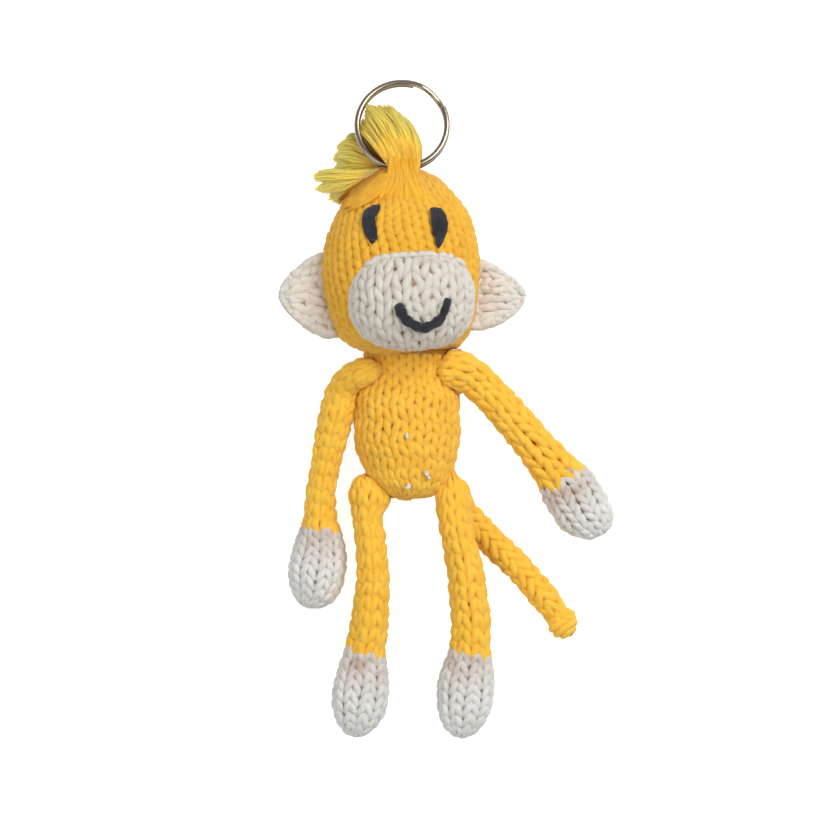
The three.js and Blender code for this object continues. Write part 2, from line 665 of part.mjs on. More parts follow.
// The wire sits in the loop's bore so that its bend clears both ends
const ringSag = wireRadius - Math.sqrt(wireRadius ** 2 - (LOOP_LENGTH / 2) ** 2);
const ringGroup = new THREE.Group();
ringGroup.position.copy(loopCentre);
ringGroup.rotation.x = -RING_TILT;
const ringPlace = V(0, wireRadius - ringSag / 2, 0);

// Hanging loop: a sleeve of yarn with rounded ends
function hangingLoop() {
  const half = LOOP_YARN / 2;
  const middle = LOOP_BORE / 2 + half;
  const straight = LOOP_LENGTH / 2 - half;
  const roundEnd = (sign) => [0, 1, 2, 3].map((i) => {
    const turn = (Math.PI * i) / 3;
    const out = half * Math.cos(turn);
    return new THREE.Vector2(middle + sign * out, sign * (straight + half * Math.sin(turn)));
  });
  const profile = [...roundEnd(1), ...roundEnd(-1)];
  profile.push(profile[0].clone());
  return new THREE.LatheGeometry(profile, BAR_SIDES).rotateZ(Math.PI / 2);
}

// Tuft: three flattened lobes of combed fibre that come out of the crown
const tuftMiddle = TUFT_DEPTH / 2 - FLAT_DEPTH + TUFT_LIFT;
const crownTip = V(HEAD_LEAN, loopCentre.y - TUFT_BELOW_LOOP, tuftMiddle);

// A lobe's route is in shares of its length from where it starts at the crown
function lobe(start, length, width, route, outline) {
  const points = route.map(([x, y, z]) => crownTip.clone().add(start).add(V(x, y, z).multiplyScalar(length)));
  const path = new THREE.CatmullRomCurve3(points);
  const half = { halfWidth: width / 2, halfDepth: TUFT_DEPTH / 2 };
  return { ...LOBE_DETAIL, ...half, path, length: path.getLength(), outline };
}

const mainLobe = lobe(
  V(0, 0, 0), TUFT_MAIN_LENGTH, TUFT_MAIN_WIDTH,
  [[0.04, -0.3, 0], [-0.07, 0.2, 0], [-0.2, 0.48, 0], [-0.4, 0.84, 0]],
  [
    [0, 0, 0], [0.02, 0.3, 0.7], [0.15, 0.6, 0.85], [0.35, 0.95, 1],
    [0.55, 1, 1], [0.75, 0.82, 0.9], [0.92, 0.52, 0.7], [1, 0, 0],
  ],
);
const sideLobe = lobe(
  V(-TUFT_SIDE_START, 0, 0), TUFT_SIDE_LENGTH, TUFT_SIDE_WIDTH,
  [[0, 0.03, 0], [-0.4, 0.27, 0], [-0.84, 0.59, 0]],
  [[0, 0, 0], [0.05, 0.3, 0.6], [0.3, 0.66, 0.9], [0.6, 1, 1], [0.85, 0.85, 0.8], [1, 0, 0]],
);
const fringeLobe = lobe(
  V(-TUFT_SIDE_START, 0, TUFT_FRINGE_HEIGHT), TUFT_FRINGE_LENGTH, TUFT_FRINGE_WIDTH,
  [[-0.01, 0.02, 0], [-0.31, -0.12, 0.05], [-0.67, -0.25, 0], [-0.99, -0.31, -0.08]],
  [
    [0, 0, 0], [0.04, 0.22, 0.6], [0.3, 0.5, 0.85], [0.6, 0.85, 0.9],
    [0.88, 0.98, 0.7], [0.97, 0.6, 0.4], [1, 0, 0],
  ],
);

// Materials, from the photograph's colours
const finishes = {
  yellow: new THREE.MeshStandardMaterial({ color: 0xf2a81d, roughness: 0.95, metalness: 0 }),
  white: new THREE.MeshStandardMaterial({ color: 0xe6dfd4, roughness: 0.95, metalness: 0 }),
  black: new THREE.MeshStandardMaterial({ color: 0x23242b, roughness: 0.9, metalness: 0 }),
  tuft: new THREE.MeshStandardMaterial({ color: 0xf5cf3a, roughness: 0.8, metalness: 0 }),
  filling: new THREE.MeshStandardMaterial({ color: 0xf4f1ec, roughness: 1, metalness: 0 }),
  steel: new THREE.MeshStandardMaterial({ color: 0xb9b4a8, roughness: 0.25, metalness: 1 }),
};

const monkey = new THREE.Group();

function piece(name, finish, shape, parent = monkey) {
  const geometry = shape.isBufferGeometry ? shape : geometryOf(shape);
  const mesh = new THREE.Mesh(geometry, finishes[finish]);
  mesh.name = name;
  parent.add(mesh);
  return mesh;
}

piece('torso_cover', 'yellow', torsoCover());
piece('torso_stuffing', 'filling', torsoFilling());
piece('neck_seam', 'yellow', neckYarn(0));
piece('head_cover', 'yellow', headCover());
piece('head_stuffing', 'filling', headFilling());
piece('muzzle_cover', 'white', muzzleCover);
piece('muzzle_stuffing', 'filling', muzzleFilling);
piece('left_eye', 'black', eye(-1));
piece('right_eye', 'black', eye(1));
piece('mouth', 'black', mouth());

for (const [side, name] of [[-1, 'left_ear'], [1, 'right_ear']]) {
  piece(name, 'white', stuffed(earForm(side)).subtract(headRoom));
}

const limbNames = [
  ['left_arm', 'left_hand', leftArm, LEFT_ARM_YELLOW],
  ['right_arm', 'right_hand', rightArm, RIGHT_ARM_YELLOW],
  ['left_leg', 'left_foot', leftLeg, LEG_YELLOW],
  ['right_leg', 'right_foot', rightLeg, LEG_YELLOW],
];
for (const [upper, end, form, share] of limbNames) {
  const parts = limbPieces(form, share);
  piece(upper, 'yellow', parts.yellow);
  piece(end, 'white', parts.white);
  piece(`${upper}_stuffing`, 'filling', parts.filling);
}

piece('tail', 'yellow', lying(limbAt(tailForm, 0)));

const mainTuft = lying(stuffed(mainLobe).subtract(headRoom).subtract(loopRoom()));
const mainTuftRoom = stuffed(mainLobe, -SEAM_GAP);
const sideTuft = lying(stuffed(sideLobe).subtract(headRoom).subtract(mainTuftRoom));
const fringe = lying(stuffed(fringeLobe).subtract(headRoom).subtract(mainTuftRoom)
  .subtract(stuffed(sideLobe, -SEAM_GAP)).subtract(loopRoom()));
piece('tuft_main', 'tuft', mainTuft);
piece('tuft_side', 'tuft', sideTuft);
piece('tuft_fringe', 'tuft', fringe);

monkey.add(ringGroup);
piece('split_ring', 'steel', splitRing().translate(ringPlace.x, ringPlace.y, ringPlace.z), ringGroup);
piece('hanging_loop', 'yellow', hangingLoop()).position.copy(loopCentre);

export default monkey;
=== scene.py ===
# %% [markdown]
# A knitted monkey on a key ring, dressed over its engineering model. The engineering model gives plain
# stuffed solids. Here each one is knitted over with real yarn: tubes that follow the loops of stocking
# stitch. A stitch is 4 mm wide on a toy this small, so its shape shows on every outline, and a bump on a
# smooth skin would not give that.

# %% Libraries and the frame
import json
import math

import bpy
import numpy as np
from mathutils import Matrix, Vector
from mathutils.bvhtree import BVHTree


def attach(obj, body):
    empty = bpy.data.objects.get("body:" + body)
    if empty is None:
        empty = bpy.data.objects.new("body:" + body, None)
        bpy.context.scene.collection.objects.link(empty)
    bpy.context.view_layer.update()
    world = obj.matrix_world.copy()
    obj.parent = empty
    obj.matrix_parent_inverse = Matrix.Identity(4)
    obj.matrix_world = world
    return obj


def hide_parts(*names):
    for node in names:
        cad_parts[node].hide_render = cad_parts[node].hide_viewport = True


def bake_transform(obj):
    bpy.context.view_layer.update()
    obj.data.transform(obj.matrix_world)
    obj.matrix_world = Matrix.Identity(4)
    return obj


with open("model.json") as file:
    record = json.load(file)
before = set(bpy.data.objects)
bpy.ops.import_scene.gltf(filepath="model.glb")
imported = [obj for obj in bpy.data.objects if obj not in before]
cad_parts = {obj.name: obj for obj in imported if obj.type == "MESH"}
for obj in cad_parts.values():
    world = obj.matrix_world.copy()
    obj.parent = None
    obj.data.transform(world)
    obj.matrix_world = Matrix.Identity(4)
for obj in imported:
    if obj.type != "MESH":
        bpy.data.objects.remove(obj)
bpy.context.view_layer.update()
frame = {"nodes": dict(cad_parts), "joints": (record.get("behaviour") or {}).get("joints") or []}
MM = 0.001
JOINTS = {joint["name"]: joint for joint in frame["joints"]}

# %% [markdown]
# Everything below is worked out from the yarn. It is a soft cotton of two twisted plies, about 2.1 mm
# thick, and it sets how wide a stitch can be and how deep the fabric is. The other values say how finely a
# yarn is drawn.

# %% Yarn sizes
YARN = 1.05 * MM
FABRIC_SWING = 0.6 * MM
PLY_TWIST = 5.2 * MM
PLY_RIDGE = 0.075
YARN_FLATNESS = 0.92
STRAND_TIP = 0.08
YARN_SIDES = 10
POINTS_PER_STITCH = 18


def at(*point):
    """A place or a direction as an array, in millimetres."""
    return np.array(point, float)


# %% [markdown]
# A helper turns arrays of points into a mesh object. It also keeps two things that the materials read:
# a UV map with the distance along the yarn and round it, and a number for how deep in the fabric each point
# lies. Nothing may sink into the table, so points below it are lifted on to it.

# %% Meshes from arrays
def add_object(name, data):
    """A new object in the scene."""
    added = bpy.data.objects.new(name, data)
    bpy.context.scene.collection.objects.link(added)
    return added


def mesh_piece(name, parts):
    """One object from several sets of points, faces, yarn UVs and depths."""
    first, faces = 0, []
    for part in parts:
        faces.append(part["faces"] + first)
        first += len(part["points"])
    points, uv, depth = (np.concatenate([part[key] for part in parts]) for key in ("points", "uv", "depth"))
    faces = np.concatenate(faces)
    points[:, 2] = np.maximum(points[:, 2], 0)
    mesh = bpy.data.meshes.new(name)
    mesh.vertices.add(len(points))
    mesh.vertices.foreach_set("co", points.astype(np.float32).ravel())
    mesh.loops.add(faces.size)
    mesh.loops.foreach_set("vertex_index", faces.astype(np.int32).ravel())
    mesh.polygons.add(len(faces))
    mesh.polygons.foreach_set("loop_start", np.arange(0, faces.size, 4, dtype=np.int32))
    mesh.polygons.foreach_set("use_smooth", np.ones(len(faces), bool))
    mesh.uv_layers.new(name="yarn").data.foreach_set("uv", uv.astype(np.float32).ravel())
    mesh.attributes.new("depth", "FLOAT", "POINT").data.foreach_set("value", depth.astype(np.float32))
    mesh.update(calc_edges=True)
    mesh.validate()
    print(f"{name}: {len(faces)} faces")
    return add_object(name, mesh)


# %% [markdown]
# Strands of every kind, from a thick yarn to a hair, are tubes along paths. A curve object with a bevel
# would give round tubes too, but here the plies of a yarn show as low ridges that wind along it, and the
# ends close to a point, so that each strand is a closed body.

# %% Tubes along paths
def strands(paths, radius, facing, sides=YARN_SIDES, depth=None, flat=YARN_FLATNESS, ridges=PLY_RIDGE):
    """Tubes along many paths: paths is strands x points x 3, and facing is where their flat side looks."""
    paths = paths if paths.ndim == 3 else paths[None]
    count, length = paths.shape[:2]
    radius = np.broadcast_to(radius, (count, length)).copy()
    radius[:, [0, -1]] *= STRAND_TIP
    forward = np.gradient(paths, axis=1)
    forward /= np.linalg.norm(forward, axis=2)[..., None] + 1e-12
    side = np.cross(forward, np.broadcast_to(facing, paths.shape))
    side /= np.linalg.norm(side, axis=2)[..., None] + 1e-12
    up = np.cross(side, forward)
    reached = np.cumsum(np.linalg.norm(np.diff(paths, axis=1, prepend=paths[:, :1]), axis=2), axis=1)
    turn = np.linspace(0, 2 * math.pi, sides, endpoint=False)
    ridge = 1 + ridges * np.cos(2 * (turn + 2 * math.pi * reached[..., None] / PLY_TWIST))
    reach = radius[..., None] * ridge
    out = side[:, :, None] * (reach * np.cos(turn))[..., None]
    above = up[:, :, None] * (reach * np.sin(turn) * flat)[..., None]
    rings = paths[:, :, None] + out + above
    index = np.arange(count * length * sides).reshape(count, length, sides)
    here, there = index[:, :-1], index[:, 1:]
    faces = np.stack([here, np.roll(here, -1, 2), np.roll(there, -1, 2), there], axis=3).reshape(-1, 4)
    along = np.broadcast_to(reached[..., None] / MM, index.shape)
    near, far = along[:, :-1], along[:, 1:]
    low = np.broadcast_to(np.arange(sides) / sides, near.shape)
    high = low + 1 / sides
    uv = np.stack([near, low, near, high, far, high, far, low], axis=3).reshape(-1, 2)
    depth = np.ones((count, length)) if depth is None else np.broadcast_to(depth, (count, length))
    depths = np.repeat(depth.ravel(), sides)
    return {"points": rings.reshape(-1, 3), "faces": faces, "uv": uv, "depth": depths}


# %% [markdown]
# The yarn is laid on the surface of each solid. That surface is kept as a grid of points, and a smooth
# curve through the grid gives any place between them. The yarn also needs to know which way is out of the
# piece, and how far it is round the piece, since that is what makes a stitch wide or narrow.

# %% The surface of a stuffed piece
class Surface:
    """Points on a grid: its rows run along the piece, and its columns run round it or across it."""

    def __init__(self, grid, wraps=True, dome_of=None):
        self.grid, self.wraps, self.dome_of, self.sign = grid, wraps, dome_of, 1
        along, around = np.meshgrid(np.linspace(0.2, 0.8, 9), np.linspace(0.1, 0.9, 9), indexing="ij")
        outward = self.at(along, around) - grid.mean(axis=1 if wraps else (0, 1)).mean(axis=0)
        self.sign = np.sign((self.normal(along, around) * outward).sum())

    def at(self, along, around):
        """The point at a share of the way along and a share of the way round."""
        rows, columns = self.grid.shape[:2]
        x = np.clip(along, 0, 1) * (rows - 1)
        y = (around % 1) * columns if self.wraps else np.clip(around, 0, 1) * (columns - 1)
        total = 0
        for i, row_share in self.shares(x):
            row = np.clip(i, 0, rows - 1)
            for j, column_share in self.shares(y):
                column = j % columns if self.wraps else np.clip(j, 0, columns - 1)
                total = total + self.grid[row, column] * (row_share * column_share)[..., None]
        return total

    @staticmethod
    def shares(place):
        """The four grid lines nearest to a place, and how much each counts in a smooth curve."""
        first = np.floor(place).astype(int)
        t = place - first
        yield first - 1, (-(t**3) + 2 * t**2 - t) / 2
        yield first, (3 * t**3 - 5 * t**2 + 2) / 2
        yield first + 1, (-3 * t**3 + 4 * t**2 + t) / 2
        yield first + 2, (t**3 - t**2) / 2

    def normal(self, along, around):
        """Which way is out: from the shape of the dome, where one is given, or else square to the grid."""
        if self.dome_of:
            middle, half = self.dome_of
            found = (self.at(along, around) - middle * MM) / np.square(half)
            return found / np.linalg.norm(found, axis=-1)[..., None]
        step = 0.006
        inner = np.clip(around, step, 1 - step) if not self.wraps else around
        along = np.clip(along, 2 * step, 1 - 2 * step)
        down = self.at(along + step, inner) - self.at(along - step, inner)
        across = self.at(along, inner + step) - self.at(along, inner - step)
        found = np.cross(across, down)
        return self.sign * found / (np.linalg.norm(found, axis=-1)[..., None] + 1e-12)

    def girth(self, along):
        """How far it is round the piece, or across it, at places along it."""
        turns = np.linspace(0, 1, 25)
        points = [self.at(along, np.full(np.shape(along), turn)) for turn in turns]
        return sum(np.linalg.norm(b - a, axis=-1) for a, b in zip(points, points[1:]))

    def length(self):
        """How long the piece is along its fabric."""
        return np.linalg.norm(np.diff(self.grid, axis=0), axis=2).mean(axis=1).sum()


# %% [markdown]
# Rays find the surface of a solid. One target can be made of several solids, as an arm and its hand are
# knitted in one piece. The rays start round a line through the middle of the piece, which bends with a
# limb.

# %% Middle of a solid
def outside_of(*nodes):
    """One ray target, with its points and edges, from one or more CAD nodes."""
    points, faces, edges = [], [], []
    for node in nodes:
        mesh, first = frame["nodes"][node].data, len(points)
        matrix = frame["nodes"][node].matrix_world
        points += [matrix @ v.co for v in mesh.vertices]
        faces += [[first + i for i in polygon.vertices] for polygon in mesh.polygons]
        edges += [[first + i for i in edge.vertices] for edge in mesh.edges]
    return BVHTree.FromPolygons(points, faces), np.array(points), np.array(edges)


def evenly(lines, count):
    """Rows of points at even distances along the first axis."""
    steps = np.linalg.norm(np.diff(lines, axis=0), axis=-1)
    steps = steps.mean(axis=tuple(range(1, steps.ndim))) if steps.ndim > 1 else steps
    reached = np.concatenate([[0], np.cumsum(steps)])
    wanted = np.linspace(0, reached[-1], count)
    flat = lines.reshape(len(lines), -1)
    even = np.stack([np.interp(wanted, reached, flat[:, k]) for k in range(flat.shape[1])], axis=1)
    return even.reshape(count, *lines.shape[1:])


def softened(line, times=1):
    """The line with its bends softened, and its ends kept."""
    for _ in range(times):
        line[1:-1] = (line[:-2] + 2 * line[1:-1] + line[2:]) / 4
    return line


def middle_line(points, edges, start, end, stations=22):
    """The middle of each slice through a solid, from one end to the other."""
    forward = (end - start) / np.linalg.norm(end - start)
    reach = (points - start) @ forward
    line = []
    for share in np.linspace(0.004, 0.996, stations):
        place = reach.min() + (reach.max() - reach.min()) * share
        before, after = reach[edges[:, 0]] - place, reach[edges[:, 1]] - place
        cut = before * after < 0
        first, second = points[edges[cut, 0]], points[edges[cut, 1]]
        crossing = first + (second - first) * (before[cut] / (before[cut] - after[cut]))[:, None]
        line.append((crossing.min(axis=0) + crossing.max(axis=0)) / 2)
    return softened(np.array(line), 4)


# %% [markdown]
# The engineering model has flat facets, and seats where one piece is let into another. Neither shows on
# knitting, so the facets are smoothed away and the seats are filled.

# %% Smoothing and filling
def smoothed(grid, times=3, wraps=True):
    """The grid with small facets taken out, and its size kept."""
    for _ in range(times):
        for pull in (0.5, -0.52):
            change = np.zeros_like(grid)
            change[1:-1] += (grid[:-2] + grid[2:]) / 2 - grid[1:-1]
            if wraps:
                change += (np.roll(grid, 1, 1) + np.roll(grid, -1, 1)) / 2 - grid
            else:
                change[:, 1:-1] += (grid[:, :-2] + grid[:, 2:]) / 2 - grid[:, 1:-1]
            change[[0, -1]] = 0
            grid = grid + pull * change / 2
    return grid


def filled(radius, times):
    """Distances from a middle line with their dents filled, where another piece is let into this one."""
    for _ in range(times):
        beside = (np.roll(radius, 1, 1) + np.roll(radius, -1, 1)) / 2
        beside[1:-1] = (beside[1:-1] + (radius[:-2] + radius[2:]) / 2) / 2
        radius = np.maximum(radius, beside)
    for _ in range(times // 2):
        radius = softened((np.roll(radius, 1, 1) + 2 * radius + np.roll(radius, -1, 1)) / 4)
    return radius


# %% [markdown]
# With that, the fabric round a body, a head or a limb is one sleeve: rays from outside meet the solid all
# round its middle line, and the rows lie closer together at the ends, where the fabric curves most.

# %% Sleeves
SECTIONS = 46
TURNS = 48
ROWS_KEPT = 64
LINE_STEPS = 200


def sleeve(nodes, start, end, reach, swell=0.35, fill=0, straight=False):
    """The surface round a piece from start to end, seen from no further than reach off its middle."""
    target, points, edges = outside_of(*nodes)
    line = evenly(middle_line(points, edges, start * MM, end * MM), LINE_STEPS)
    last = LINE_STEPS - 1
    shares = 0.5 - 0.5 * np.cos(np.pi * np.linspace(0, 1, SECTIONS))
    middles, outs = np.zeros((SECTIONS, 1, 3)), np.zeros((SECTIONS, TURNS, 3))
    radius = np.zeros((SECTIONS, TURNS))
    whole = Vector(line[-1] - line[0]).normalized()
    for i, place in enumerate((shares * last).astype(int)):
        ahead, behind = min(place + 8, last), max(place - 8, 0)
        forward = whole if straight else Vector(line[ahead] - line[behind]).normalized()
        across = forward.cross(Vector((0, 0, 1))).normalized()
        above = across.cross(forward)
        middle = Vector(line[place])
        middles[i] = middle
        for j, turn in enumerate(np.linspace(0, 2 * math.pi, TURNS, endpoint=False)):
            out = -above * math.cos(turn) + across * math.sin(turn)
            hit = target.ray_cast(middle + out * reach * MM, -out, reach * MM)[0]
            outs[i, j] = out
            radius[i, j] = (hit - middle).length + swell * MM if hit is not None else 0
    radius[[0, -1]] = 0
    radius[1:-1] = filled(radius[1:-1], fill)
    grid = middles + outs * radius[..., None]
    closed = np.concatenate([grid, grid[:, :1]], axis=1)
    grid = np.array([evenly(ring, TURNS + 1)[:-1] for ring in closed])
    return Surface(evenly(smoothed(grid), ROWS_KEPT))


# %% [markdown]
# A limb is never quite where a plain solid puts it: it is pinched at its seam or bulges where it is stuffed
# harder. So a surface can be pushed: one stretch of it is moved, and made wider or narrower, with a soft
# start and end.

# %% Pushing a surface
def pushed(surface, pushes):
    """The surface moved near places along it, each by a shift in millimetres, and made wider by a share."""
    along = np.linspace(0, 1, len(surface.grid))
    for place, width, shift, *wider in pushes:
        bump = np.exp(-(((along - place) / width) ** 2))[:, None, None]
        middles = surface.grid.mean(axis=1, keepdims=True)
        surface.grid = middles + (surface.grid - middles) * (1 + sum(wider) * bump) + bump * shift * MM
    return surface


# %% [markdown]
# A stocking stitch is one loop. Seen from the front its two legs make a V, and its top and its feet pass
# behind the stitches above and below. One short formula gives that path, and the loops run on from one to
# the next round the piece, as knitting in the round does. Slow random changes are laid over it, because no
# two stitches are pulled alike.

# %% The path of the yarn
LEG_SLANT = 0.205
LOOP_HEIGHT = 0.9


def stitch_path(wales, first_row, last_row, slant, points):
    """Where the yarn runs, in shares round and along, and how far forward it comes, from -1 to 1."""
    count = int(round((last_row - first_row) * wales))
    t = np.tile(np.linspace(-math.pi, math.pi, points, endpoint=False), count)
    stitch = np.repeat(np.arange(count), points)
    across = stitch + 0.5 + slant * np.sin(2 * t) + t / (2 * math.pi)
    down = first_row + (stitch + 0.5) / wales + 0.5 - LOOP_HEIGHT * np.cos(t)
    return across / wales, down, -np.cos(2 * t)


def drift(seed, across, down, size, waves=5, finest=6):
    """A slow random change over the fabric, from a few waves that run different ways."""
    draw = np.random.RandomState(seed)
    total = np.zeros(np.shape(across))
    for _ in range(waves):
        turns, rises = draw.randint(1, finest + 1), draw.uniform(-finest, finest)
        total = total + np.sin(2 * math.pi * (turns * across + rises * down + draw.uniform()))
    return size * total / math.sqrt(waves)


# %% [markdown]
# Cotton yarn is never clean: short fibres stand off it and soften its edge. They are real hairs here,
# because they also show on the outline, and they root only where the yarn lies in front.

# %% Loose fibres
HAIR = 0.03 * MM
HAIR_SHARE = 0.09
HAIR_LIGHT = (0.3, 0.5, 0.8)


def fuzz(path, radius, normals, front, seed):
    """Loose fibres that stand off the yarn, 0.4 to 1.1 mm high and bent at random."""
    draw = np.random.RandomState(seed + 9)
    path, normals = path.reshape(-1, 3), normals.reshape(-1, 3)
    roots = np.flatnonzero((front.ravel() > 0.1) & (draw.uniform(size=front.size) < HAIR_SHARE))
    aside = draw.normal(0, 1, (len(roots), 3))
    reach = np.linspace(0, 1, 6)[:, None]
    out = (normals[roots] + 0.7 * aside)[:, None] * draw.uniform(0.4, 1.1, (len(roots), 1, 1)) * MM
    bend = draw.normal(0, 0.8, (len(roots), 1, 3)) * MM * reach**2
    start = path[roots] + normals[roots] * radius.ravel()[roots][:, None] * 0.8
    return strands(start[:, None] + out * reach + bend, HAIR, HAIR_LIGHT, 3, depth=0.85, ridges=0)


# %% [markdown]
# Knitting in the round puts the two together: the path of the stitches on the surface of the piece. The
# yarn gets thinner where the piece is so narrow that the stitches crowd, as real stitches do when they are
# drawn together.

# %% Knitting in the round
def laid(surface, along, around, lift, radius, front, seed):
    """Yarn on a surface with its loose fibres, lifted off it or, below zero, let into it."""
    normals = surface.normal(along, around)
    path = surface.at(along, around) + normals * lift[..., None]
    # Depth runs from 0 at the back of each loop to 1 at its front, and the yarn material paints the back in
    # its gap colour: painted shade.
    return [strands(path, radius, normals, depth=0.5 + 0.5 * front), fuzz(path, radius, normals, front, seed)]


def knit(
    surface, wales, rows, seed, first_row=0.0, last_row=None, yarn=YARN, loose=1.0, turned=0.0, drawn=0.0,
    slant=LEG_SLANT, full=0.27, least=0.34, swing=FABRIC_SWING, points=POINTS_PER_STITCH,
):
    """The yarn of a piece with wales stitches round and rows along. Drawn makes its first rows taller."""
    across, down, front = stitch_path(wales, first_row, rows if last_row is None else last_row, slant, points)
    down = down / rows
    around = across + turned + drift(seed, across, down, 0.065 * loose) / wales
    along = down + drift(seed + 1, across, down, 0.11 * loose) / rows
    along = np.clip(along + drawn * along * (1 - along) ** 5, 0.002, 0.998)
    width = surface.girth(along) / wales
    radius = np.minimum(yarn, np.maximum(width * full, yarn * least))
    radius = radius * (1 + 0.05 * front + drift(seed + 2, across, down, 0.05 * loose, 9, 14))
    swing = swing * radius / yarn
    lift = swing * front - radius - swing + drift(seed + 3, across, down, 0.14 * MM * loose, 7, 10)
    return laid(surface, along, around, lift, radius, front, seed)


# %% [markdown]
# Between the stitches of a real toy one looks at the inner side of the fabric, in shade, and not right
# through the body. A closed skin below the yarn does the same, and its depth gives it the gap colour: painted
# shade. It keeps closer to the stitches at both ends, where they lie flat, and is painted lighter there. The
# lump of stuffing inside is another such skin, further in and uneven, and the lumps are noted down for later.

# %% The inner side of the fabric
def lining(surface, below, lumps=0.0, seed=0, start=0.004):
    """A closed skin below the yarn: the inner side of the fabric, or with lumps the stuffing inside it."""
    rows, columns = 56, 64
    along, around = np.meshgrid(np.linspace(start, 0.996, rows), np.arange(columns) / columns, indexing="ij")
    points = surface.at(along, around)
    inward = points.mean(axis=1, keepdims=True) - points
    normals = surface.normal(along, around)
    room = np.linalg.norm(inward, axis=-1) + 1e-9
    radial = np.maximum(-(normals * inward).sum(axis=-1) / room, 0.05)
    at_ends = np.interp(along, [0, 0.05, 0.1, 0.9, 0.95, 1], [1, 1, 0, 0, 1, 1])
    below = below * (1 - 0.4 * at_ends) + drift(seed, around, along, lumps, 9, 9)
    points = points - normals * np.minimum(below, 0.85 * room / radial)[..., None]
    points[0], points[-1] = points[0].mean(axis=0), points[-1].mean(axis=0)
    index = np.arange(rows * columns).reshape(rows, columns)
    here, there = index[:-1], index[1:]
    faces = np.stack([here, np.roll(here, -1, 1), np.roll(there, -1, 1), there], axis=2).reshape(-1, 4)
    return {
        "points": points.reshape(-1, 3), "faces": faces,
        # A depth of -1 gives the full gap colour, painted shade, and 0.6 at the ends paints the skin lighter
        # there.
        "uv": np.zeros((faces.size, 2)), "depth": (1.6 * at_ends - 1).ravel(),
    }


STUFFED = []
STUFFING_LUMPS = 0.5 * MM


def stuffing_in(surface, node, body, below=3.6, skin=lining):
    """Note down a lump of stuffing for a CAD node, so many millimetres below the surface."""
    STUFFED.append((node, body, skin(surface, below * MM, STUFFING_LUMPS, len(STUFFED))))


# %% [markdown]
# Materials are trees of nodes. A few helpers keep them short to write: each node gets a name, its links are
# given as a list, and so are the inputs that are set.

# %% Making materials
def nodes_of(tree, **kinds):
    """New shader nodes in a tree, by the names given to them. A kind is named without its ShaderNode."""
    return {name: tree.nodes.new("ShaderNode" + kind) for name, kind in kinds.items()}


def new_material(name, **kinds):
    """A material and its nodes by name: its own shader and end, and new ones of the kinds given."""
    material = bpy.data.materials.new(name)
    material.use_nodes = True
    own = material.node_tree.nodes
    nodes = {"shader": own["Principled BSDF"], "end": own["Material Output"]}
    print("material:", name)
    return material, {**nodes, **nodes_of(material.node_tree, **kinds)}


def wire(tree, nodes, *links):
    """Link nodes. Each link is a node and its output, then the next node and its input."""
    for start, output, end, entry in links:
        tree.links.new(nodes[start].outputs[output], nodes[end].inputs[entry])


def preset(node, values):
    """Set inputs of a node, by name or by number."""
    for entry, value in values.items():
        node.inputs[entry].default_value = value


# %% [markdown]
# Cotton yarn is matt, with a soft bright edge from its loose fibres. What all yarns share is a group: how
# light a patch of yarn is, and the height of the fine fibres that wind along with the plies. It reads the
# yarn's own UVs, so the fibres follow every turn of a stitch, which noise in space would not do.

# %% Fibres of the yarn
def yarn_fibre_group():
    """How light the yarn is at a point, and how high its fibres stand there."""
    group = bpy.data.node_groups.new("yarn fibres", "ShaderNodeTree")
    for name in ("Tone", "Height"):
        group.interface.new_socket(name, in_out="OUTPUT", socket_type="NodeSocketFloat")
    n = nodes_of(
        group, uv="UVMap", split="SeparateXYZ", wind="Math", lie="CombineXYZ", stretch="VectorMath",
        fibre="TexNoise", patch="TexNoise", place="TexCoord",
    )
    n["out"] = group.nodes.new("NodeGroupOutput")
    n["uv"].uv_map = "yarn"
    n["wind"].operation = "MULTIPLY_ADD"
    n["stretch"].operation = "MULTIPLY"
    preset(n["wind"], {1: 0.19})
    preset(n["stretch"], {1: (0.5, 26.0, 1.0)})
    preset(n["fibre"], {"Scale": 1.0, "Detail": 3.0})
    preset(n["patch"], {"Scale": 260.0, "Detail": 3.0})
    wire(
        group, n, ("uv", "UV", "split", 0), ("split", "X", "wind", 0), ("split", "Y", "wind", 2),
        ("split", "X", "lie", "X"), ("wind", 0, "lie", "Y"), ("lie", 0, "stretch", 0),
        ("stretch", 0, "fibre", "Vector"), ("place", "Object", "patch", "Vector"),
        ("patch", "Fac", "out", "Tone"), ("fibre", "Fac", "out", "Height"),
    )
    return group


YARN_FIBRES = yarn_fibre_group()
print("group:", YARN_FIBRES.name)
